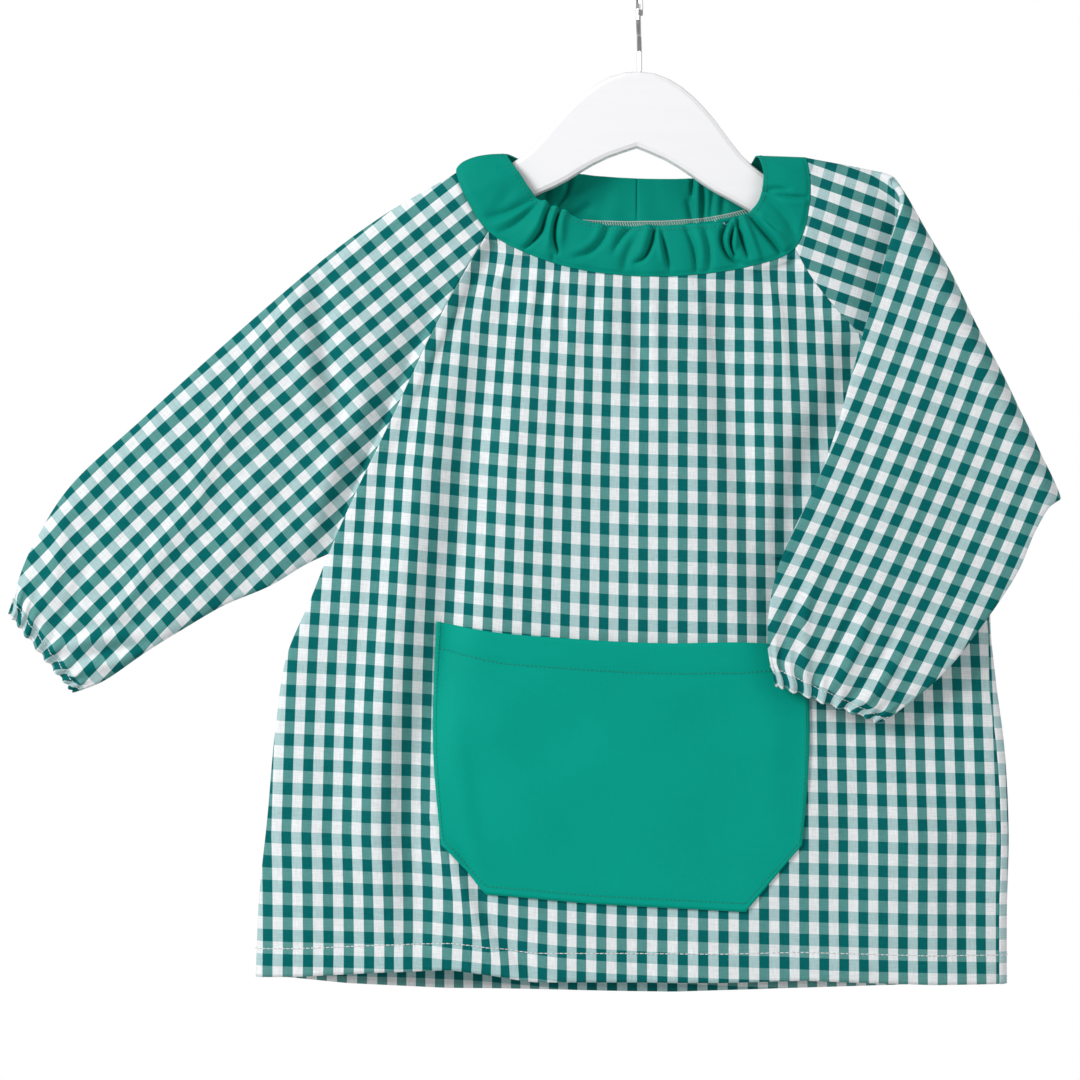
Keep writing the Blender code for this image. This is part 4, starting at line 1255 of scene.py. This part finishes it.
# The cuff's gathers: ridges at a share of the sleeve's width that run up the sleeve, and their frill
# beyond the stitches of the elastic
CuffRidge = namedtuple("CuffRidge", "at width height slant", defaults=[0.0])
RIGHT_CUFF = [
    CuffRidge(0.06, 0.025, 1.6),
    CuffRidge(0.17, 0.028, 2.0, 0.1),
    CuffRidge(0.27, 0.024, 1.7),
    CuffRidge(0.36, 0.026, 2.1, -0.1),
    CuffRidge(0.47, 0.03, 1.8, 0.1),
    CuffRidge(0.56, 0.024, 2.0),
    CuffRidge(0.66, 0.03, 2.1, 0.2),
    CuffRidge(0.76, 0.026, 1.6, 0.1),
    CuffRidge(0.85, 0.028, 1.9),
    CuffRidge(0.94, 0.024, 1.5),
]
LEFT_CUFF = [
    CuffRidge(0.05, 0.024, 1.7),
    CuffRidge(0.15, 0.026, 1.9),
    CuffRidge(0.26, 0.026, 2.1, 0.1),
    CuffRidge(0.37, 0.024, 1.8),
    CuffRidge(0.46, 0.026, 2.1, -0.1),
    CuffRidge(0.56, 0.024, 1.9),
    CuffRidge(0.65, 0.028, 2.2, 0.2),
    CuffRidge(0.76, 0.026, 1.8),
    CuffRidge(0.86, 0.026, 1.9),
    CuffRidge(0.95, 0.022, 1.6),
]

# Shares of the sleeve's length from the wrist: the cuff with its fuller cloth, the reach of its
# gathers, and from the top the stitches of its elastic and the start of its frill
CUFF_LENGTH = 0.085
CUFF_GATHER_LENGTH = 0.2
CUFF_FULLNESS = 0.45
CUFF_RELIEF = 1.5
CUFF_STITCH_AT = 0.965
CUFF_DRAW = 1.1
FRILL_FROM = 0.955
FRILL_LENGTH = 0.025
FRILL_SCALLOP = 1.6
WRIST_ROWS = 3


def hem_relief(count):
    """A folded hem, one number a row: it stands out below its stitches, which draw the cloth in."""
    from_stitches = np.arange(count) - (count - 1 - HEM_ROWS)
    return HEM_RIDGE * (1 - up_to(from_stitches, 0, HEM_STEP)) + edge_dip(from_stitches, HEM_DRAW, HEM_STEP)


def seam_relief(grid):
    """The cloth draws in beside the neck seam, the raglan seams and the side seams."""
    total = np.zeros(grid.shape[:2])
    for edge in (grid[:1], grid[:, :1], grid[:, -1:]):
        total += edge_dip(np.linalg.norm(grid - edge, axis=2), SEAM_DRAW, SEAM_REACH)
    return total


def make_body(name, grid, creases, side):
    """The front (side -1) or the back (side 1)."""
    x, z = grid[..., 0], grid[..., 2]
    rows, columns = np.arange(grid.shape[0]), np.arange(grid.shape[1])
    level = np.clip(side * grid[..., 1] / CHEST_DEPTH, 0, 1)
    height = (crease_height(creases, x, z) + undulation(x, z)) * level
    height += seam_relief(grid) + hem_relief(len(rows))[:, None] * level
    held_top = 1 - fade(rows, BODY_HELD_ROWS)
    held_sides = 1 - fade(np.minimum(columns, columns[::-1]), BODY_HELD_COLUMNS)
    shaped = grid + normals_of(grid) * (height * held_top[:, None] * held_sides)[..., None]
    flat = body_weave(x, z) + taken_up(creases, x, z) - body_weave(*np.array(BODY_PHASE))
    flat += np.array([WARP_REPEAT, WEFT_REPEAT]) / 2
    if side > 0:
        flat += BACK_OFFSET
    piece = shell(name, shaped, open_spans(flat), CLOTH, gingham)
    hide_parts(name)
    return piece, shaped


def cuff_waves(down, place, ridges):
    """The gathers that the elastic makes, as ridges that run from the wrist up the sleeve."""
    waves = np.zeros((len(down), len(place)))
    for ridge in ridges:
        middle = ridge.at + ridge.slant * (1 - down)[:, None]
        waves += ridge.height * np.exp(-(((place - middle) / ridge.width) ** 2))
    return waves


def sleeve_layer(grid, side, creases, grain, ridges):
    """The front (side -1) or back layer of a sleeve: its creased form, and its places on the flat cloth."""
    x, z = grid[..., 0], grid[..., 2]
    rows = np.arange(grid.shape[0])
    down = rows / rows[-1]
    place = np.linspace(0, 1, grid.shape[1])
    waves = cuff_waves(down, place, ridges)
    gathered = 1 - fade(down - (1 - CUFF_GATHER_LENGTH), CUFF_GATHER_LENGTH)
    level = np.clip(side * grid[..., 1] / SLEEVE_LEVEL, 0, 1)
    height = (crease_height(creases, x, z) + undulation(x, z)) * level
    height += CUFF_RELIEF * waves * gathered[:, None] ** 2 * np.sqrt(4 * place * (1 - place))
    height += edge_dip((down - CUFF_STITCH_AT) * len(rows), CUFF_DRAW, CUFF_DRAW)[:, None]
    height += edge_dip(rows, SEAM_DRAW, ARMHOLE_REACH)[:, None]
    held_top = 1 - fade(rows, SLEEVE_HELD_ROWS)
    held_folds = 1 - fade(np.minimum(place, 1 - place), SLEEVE_HELD_SHARE)
    shaped = grid.copy()
    shaped[..., 1] += side * height * held_top[:, None] * held_folds
    wrist_way = grid[-1] - grid[-1 - WRIST_ROWS]
    wrist_way /= np.linalg.norm(wrist_way, axis=1, keepdims=True)
    frill = (waves - 1) / 2 * (1 - fade(down - FRILL_FROM, FRILL_LENGTH))[:, None]
    shaped += FRILL_SCALLOP * frill[..., None] * wrist_way
    flat = sleeve_weave(grain, x, z) + taken_up(creases, x, z)
    middle = flat[:, len(place) // 2, :1]
    fuller = CUFF_FULLNESS * (1 - fade(down - (1 - CUFF_LENGTH), CUFF_LENGTH)) ** 2
    flat[..., 0] += (flat[..., 0] - middle) * fuller[:, None]
    return shaped, flat


def make_sleeve(name, halves, creases, grain, folded, ridges):
    """A sleeve as one closed tube. Its cloth runs on round the fold at the top of the sleeve."""
    front, front_flat = sleeve_layer(halves[0], -1, creases, grain, ridges)
    back, back_flat = sleeve_layer(halves[1], 1, BACK_SLEEVE_CREASES[name], grain, ridges)
    ring = np.concatenate([front[:, :-1], back[:, :0:-1]], axis=1)
    spans = [
        np.concatenate([front_flat[:, :-1], back_flat[:, :0:-1]], axis=1),
        np.concatenate([front_flat[:, 1:], back_flat[:, -2::-1]], axis=1),
    ]
    if folded:
        ring = fold_forward(ring)
        ring = np.concatenate([ring[:, :1], ring[:, :0:-1]], axis=1)
        spans = [spans[1][:, ::-1], spans[0][:, ::-1]]
    piece = shell(name, ring, spans, CLOTH, gingham, closed=True)
    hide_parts(name)
    return piece, ring


# The neck band: finer cells than the body's, its flat width, how full it is gathered, how it swells
# and stands off, how its seam draws it in, and the share of its width that the seam holds
BAND_FINER = 2
BAND_WIDTH = 32
BAND_FULLNESS = 1.35
BAND_SWELL = 1.4
BAND_STAND = 0.8
BAND_SEAM_DRAW = 0.7
BAND_SEAM_REACH = 2.0
BAND_HELD = 0.12

# How far the band may lie back before it would meet the hanger, and less so at its shoulders, which
# are these neck stations and those next to them
BAND_ROOM = -2.6
SHOULDER_ROOM = -0.9
SHOULDER_STATIONS = (1.5, 8.8)

# The band rolls over the folded shoulder: how far, over how many stations, and which way
SHOULDER_BULGE = 13
BULGE_REACH = 0.55
BULGE_WAY = (-0.34, 0.94)

# Folds draw the band's free edge up and down, by a share of their height within these limits
EDGE_SCALLOP = 0.75
SCALLOP_LIMITS = (-5, 2)
SCALLOP_POWER = 4


def make_collar(seam, top_edge, places):
    """The neck band, gathered on its elastic: a ring between the neck seam and its free edge."""
    up = np.linspace(0, 1, BAND_ROWS)[:, None]
    grid = seam[None] + (top_edge - seam)[None] * up[..., None]
    x, z = grid[..., 0], grid[..., 2]
    side = np.sign(grid[..., 1])
    creased = np.where(side < 0, crease_height(BAND_CREASES, x, z), crease_height(INNER_BAND_CREASES, x, z))
    height = creased + BAND_STAND + BAND_SWELL * np.sin(np.pi * up)
    at_shoulder = np.min([abs(places - station) for station in SHOULDER_STATIONS], axis=0) < 1
    height = np.maximum(height, np.where(at_shoulder, SHOULDER_ROOM, BAND_ROOM))
    height += edge_dip(up * BAND_WIDTH, BAND_SEAM_DRAW, BAND_SEAM_REACH)
    full = np.clip(abs(grid[..., 1]) / NECK_DEPTH, 0, 1)
    to_fold = np.minimum(places, len(NECK) - places)
    bulge = SHOULDER_BULGE * np.exp(-((to_fold / BULGE_REACH) ** 2)) * (1 - up) * np.sqrt(up)
    shaped = grid.copy()
    shaped[..., 0] += BULGE_WAY[0] * bulge
    shaped[..., 1] += side * height * full * (1 - fade(up, BAND_HELD))
    shaped[..., 2] += BULGE_WAY[1] * bulge
    shaped[..., 2] += EDGE_SCALLOP * np.clip(creased, *SCALLOP_LIMITS) * full * up**SCALLOP_POWER * (side < 0)
    closed_seam = np.concatenate([seam, seam[:1]])
    steps = np.linalg.norm(np.diff(closed_seam, axis=0), axis=1)
    around = np.concatenate([[0], np.cumsum(steps)])
    flat = np.stack(np.meshgrid(around * BAND_FULLNESS, up[:, 0] * BAND_WIDTH), axis=-1)
    shaped, flat = shaped[::-1], flat[::-1]
    piece = shell("collar", shaped, open_spans(flat), BAND_CLOTH, band_green_painted_shade, closed=True)
    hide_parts("collar")
    return piece, shaped


# The pocket's hem and its turned edges, as shares of its height and width, and how far they stand out
POCKET_HEM = 0.115
POCKET_HEM_BLUR = 0.012
POCKET_HEM_RIDGE = 0.35
POCKET_RIM = 0.018
POCKET_RIM_BLUR = 0.006
POCKET_RIM_RIDGE = 0.3
POCKET_SOFT_FROM = 0.1
POCKET_CREASES = [
    Crease([(-114, -410), (-112, -450), (-104, -505), (-96, -540)], 7, 1.3),
    Crease([(-95, -405), (-84, -460), (-60, -540)], 20, 0.9),
    Crease([(20, -430), (34, -480), (60, -545)], 24, -1.2),
    Crease([(70, -415), (80, -460), (84, -515)], 13, 1.2),
    Crease([(-60, -440), (-30, -470), (10, -500)], 18, 0.6),
    Crease([(-86, -545), (-30, -548), (40, -553)], 5, 0.7),
]


def pocket_relief(x, z, down, u):
    """The folded hem at the top, the stitched edges, and the cloth's own soft creases."""
    inside = np.minimum(np.minimum(u, 1 - u), 1 - down)
    hem = POCKET_HEM_RIDGE * up_to(down, POCKET_HEM, POCKET_HEM_BLUR)
    stitches = edge_dip(down - POCKET_HEM, POCKET_HEM_RIDGE, POCKET_HEM_BLUR)
    rim = POCKET_RIM_RIDGE * up_to(inside, POCKET_RIM, POCKET_RIM_BLUR)
    soft = crease_height(POCKET_CREASES, x, z) * np.clip(inside / POCKET_SOFT_FROM, 0, 1)
    return hem + stitches + rim + soft


def pocket_foot():
    """Points round the pocket's open sides and foot, evenly within each of its straight edges."""
    foot = [[POCKET_FOOT[0][:2]]]
    for corner, after in zip(POCKET_FOOT, POCKET_FOOT[1:]):
        steps = np.linspace(0, 1, after.cells + 1)[1:, None]
        foot.append(np.array(corner[:2]) * (1 - steps) + np.array(after[:2]) * steps)
    return np.concatenate(foot)


def make_pocket(panel):
    """The patch pocket, found on the face of the front's shell and moved out."""
    foot = pocket_foot()
    u = np.linspace(0, 1, len(foot))
    top = along(POCKET_TOP, u)
    rows, columns = panel.shape[:2]
    at = np.arange(rows * columns).reshape(rows, columns)
    corners = np.stack([at[:-1, :-1], at[1:, :-1], at[1:, 1:], at[:-1, 1:]], axis=-1).reshape(-1, 4)
    face = BVHTree.FromPolygons(panel.reshape(-1, 3).tolist(), corners.tolist())
    down = np.linspace(0, 1, POCKET_ROWS + 1)[:, None]
    flat = top[None] + (foot - top)[None] * down[..., None]
    flat[..., 0] += POCKET_BOW * np.sin(np.pi * down) * (2 * u - 1) ** 3
    lift = LAYER_GAP + CLOTH + POCKET_FULLNESS * np.sin(np.pi * u) * np.sqrt(1 - down)
    lift = lift + pocket_relief(flat[..., 0], flat[..., 1], down, u)
    grid = np.zeros(flat.shape[:2] + (3,))
    for row, column in np.ndindex(flat.shape[:2]):
        x, z = flat[row, column]
        place, normal, _, _ = face.ray_cast((x, IN_FRONT, z), (0, 1, 0))
        grid[row, column] = np.array(place) + np.array(normal) * lift[row, column]
    piece = shell("pocket", grid, open_spans(flat * (1, -1)), CLOTH, pocket_green)
    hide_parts("pocket")
    return piece, grid


def neck_seam(places):
    """The seam between the body and the neck band, with its gathers."""
    ring = ring_curve((0, 1), places)
    ring[:, 1] += np.sign(ring[:, 1]) * gathers(places)
    return ring


places = neck_places()
seam = neck_seam(places)
band_places = neck_places(BAND_FINER)

front_top = part_of_ring(seam, places, RIGHT_FRONT, LEFT_FRONT)
back_top = part_of_ring(seam, places, LEFT_BACK, RIGHT_BACK)
right_front = raglan_seam(RIGHT_RAGLAN, front_top[0], -1)
left_front = raglan_seam(LEFT_RAGLAN, front_top[-1], -1)
right_back = raglan_seam([back_top[-1][[0, 2]]] + RIGHT_RAGLAN[2:], back_top[-1], 1)
left_back = raglan_seam([back_top[0][[0, 2]]] + LEFT_RAGLAN[3:], back_top[0], 1)
for front_seam, back_seam in ((right_front, right_back), (left_front, left_back)):
    back_seam[-1] = front_seam[-1]

front_grid = body_panel(-1, front_top, right_front, left_front, FRONT_HEM_DIP, FRONT_CELLS)
back_grid = body_panel(1, back_top, right_back, left_back, BACK_HEM_DIP, BACK_CELLS)
back_grid[RAGLAN_ROWS:, 0] = front_grid[RAGLAN_ROWS:, -1]
back_grid[RAGLAN_ROWS:, -1] = front_grid[RAGLAN_ROWS:, 0]

body_front, front_face = make_body("body_front", front_grid, FRONT_CREASES, -1)
body_back, back_face = make_body("body_back", back_grid, BACK_CREASES, 1)

right_halves = sleeve_halves(
    np.concatenate([part_of_ring(seam, places, RIGHT_FOLD, RIGHT_FRONT), right_front[1:]]),
    np.concatenate([part_of_ring(seam, places, RIGHT_BACK, len(NECK))[::-1], right_back[1:]]),
    RIGHT_SLEEVE,
    RIGHT_ARMHOLE_LINES,
)
left_halves = sleeve_halves(
    np.concatenate([part_of_ring(seam, places, LEFT_FRONT, LEFT_FOLD)[::-1], left_front[1:]]),
    np.concatenate([part_of_ring(seam, places, LEFT_FOLD, LEFT_BACK), left_back[1:]]),
    LEFT_SLEEVE,
    LEFT_ARMHOLE_LINES,
)
sleeve_right, right_ring = make_sleeve(
    "sleeve_right", right_halves, RIGHT_SLEEVE_CREASES, RIGHT_GRAIN, False, RIGHT_CUFF
)
sleeve_left, left_ring = make_sleeve(
    "sleeve_left", left_halves, LEFT_SLEEVE_CREASES, LEFT_GRAIN, True, LEFT_CUFF
)
collar, band_face = make_collar(neck_seam(band_places), ring_curve((2, 3), band_places), band_places)
pocket, pocket_face = make_pocket(front_face)

# The sewing

# Stitches: from one to the next, their length and their radius
Stitch = namedtuple("Stitch", "step length radius")
HEM_STITCH = Stitch(3.0, 2.5, 0.28)
CUFF_STITCH = Stitch(2.4, 1.8, 0.25)
POCKET_STITCH = Stitch(2.6, 2.0, 0.22)
BAND_STITCH = Stitch(2.6, 1.7, 0.22)
ZIGZAG_STITCH = Stitch(1.5, 3.6, 0.2)
LOOP_STITCH = Stitch(1.5, 1.35, 0.24)
ZIGZAG_SLANT = 1.15
THREAD_LIFT = CLOTH / 2 + 0.12
BAND_THREAD_LIFT = BAND_CLOTH / 2 + 0.1

# Rows and cells of the pieces' grids that stitches follow or leave free
HEM_ENDS = slice(2, -2)
POCKET_ENDS = slice(1, -1)
POCKET_INSET = 2
ELASTIC_ROW = 3.3

# The overlocked seam inside the back of the neck: its stations, its row, and how far apart its loops are
OVERLOCK_FROM, OVERLOCK_TO = 10.7, 17.3
OVERLOCK_ROW = -5
OVERLOCK_LIFT = BAND_CLOTH / 2 + 0.35
LOOP_LIFT = 0.1
LOOP_APART = 1.9


def closed_path(path):
    return np.concatenate([path, path[:1]])


hem_row = len(front_face) - 1 - HEM_ROWS
hem_front, hem_back = [
    stitch_row(name, row_on(face, normals_of(face), hem_row, THREAD_LIFT, HEM_ENDS), HEM_STITCH, white_thread)
    for name, face in (("hem_stitches_front", front_face), ("hem_stitches_back", back_face))
]
for name, ring in (("cuff_stitches_right", right_ring), ("cuff_stitches_left", left_ring)):
    cuff_row = (len(ring) - 1) * CUFF_STITCH_AT
    path = row_on(ring, normals_of(ring, closed=True), cuff_row, THREAD_LIFT)
    stitch_row(name, closed_path(path), CUFF_STITCH, white_thread)

pocket_normals = normals_of(pocket_face)
hem_path = row_on(pocket_face, pocket_normals, POCKET_HEM * POCKET_ROWS, THREAD_LIFT, POCKET_ENDS)
pocket_hem = stitch_row("pocket_hem_stitches", hem_path, POCKET_STITCH, green_thread)
above_pocket = pocket_face + pocket_normals * THREAD_LIFT
rim = np.concatenate([
    above_pocket[:-POCKET_INSET, 1],
    above_pocket[-1 - POCKET_INSET, 1:-1],
    above_pocket[:-POCKET_INSET, -2][::-1],
])
pocket_rim = stitch_row("pocket_edge_stitches", rim, POCKET_STITCH, green_thread)

elastic_path = row_on(band_face, normals_of(band_face, closed=True), ELASTIC_ROW, BAND_THREAD_LIFT)
band_stitches = stitch_row("band_stitches", closed_path(elastic_path), BAND_STITCH, green_thread)

behind = (band_places > OVERLOCK_FROM) & (band_places < OVERLOCK_TO)
inside_neck = band_face[OVERLOCK_ROW][behind] - (0, OVERLOCK_LIFT, 0)
loops_above = inside_neck + (0, -LOOP_LIFT, LOOP_APART)
loops_below = inside_neck + (0, -LOOP_LIFT, -LOOP_APART)
overlock = [
    stitch_row("overlock_zigzag", inside_neck, ZIGZAG_STITCH, white_thread, ZIGZAG_SLANT),
    stitch_row("overlock_top", loops_above, LOOP_STITCH, white_thread),
    stitch_row("overlock_bottom", loops_below, LOOP_STITCH, white_thread),
]
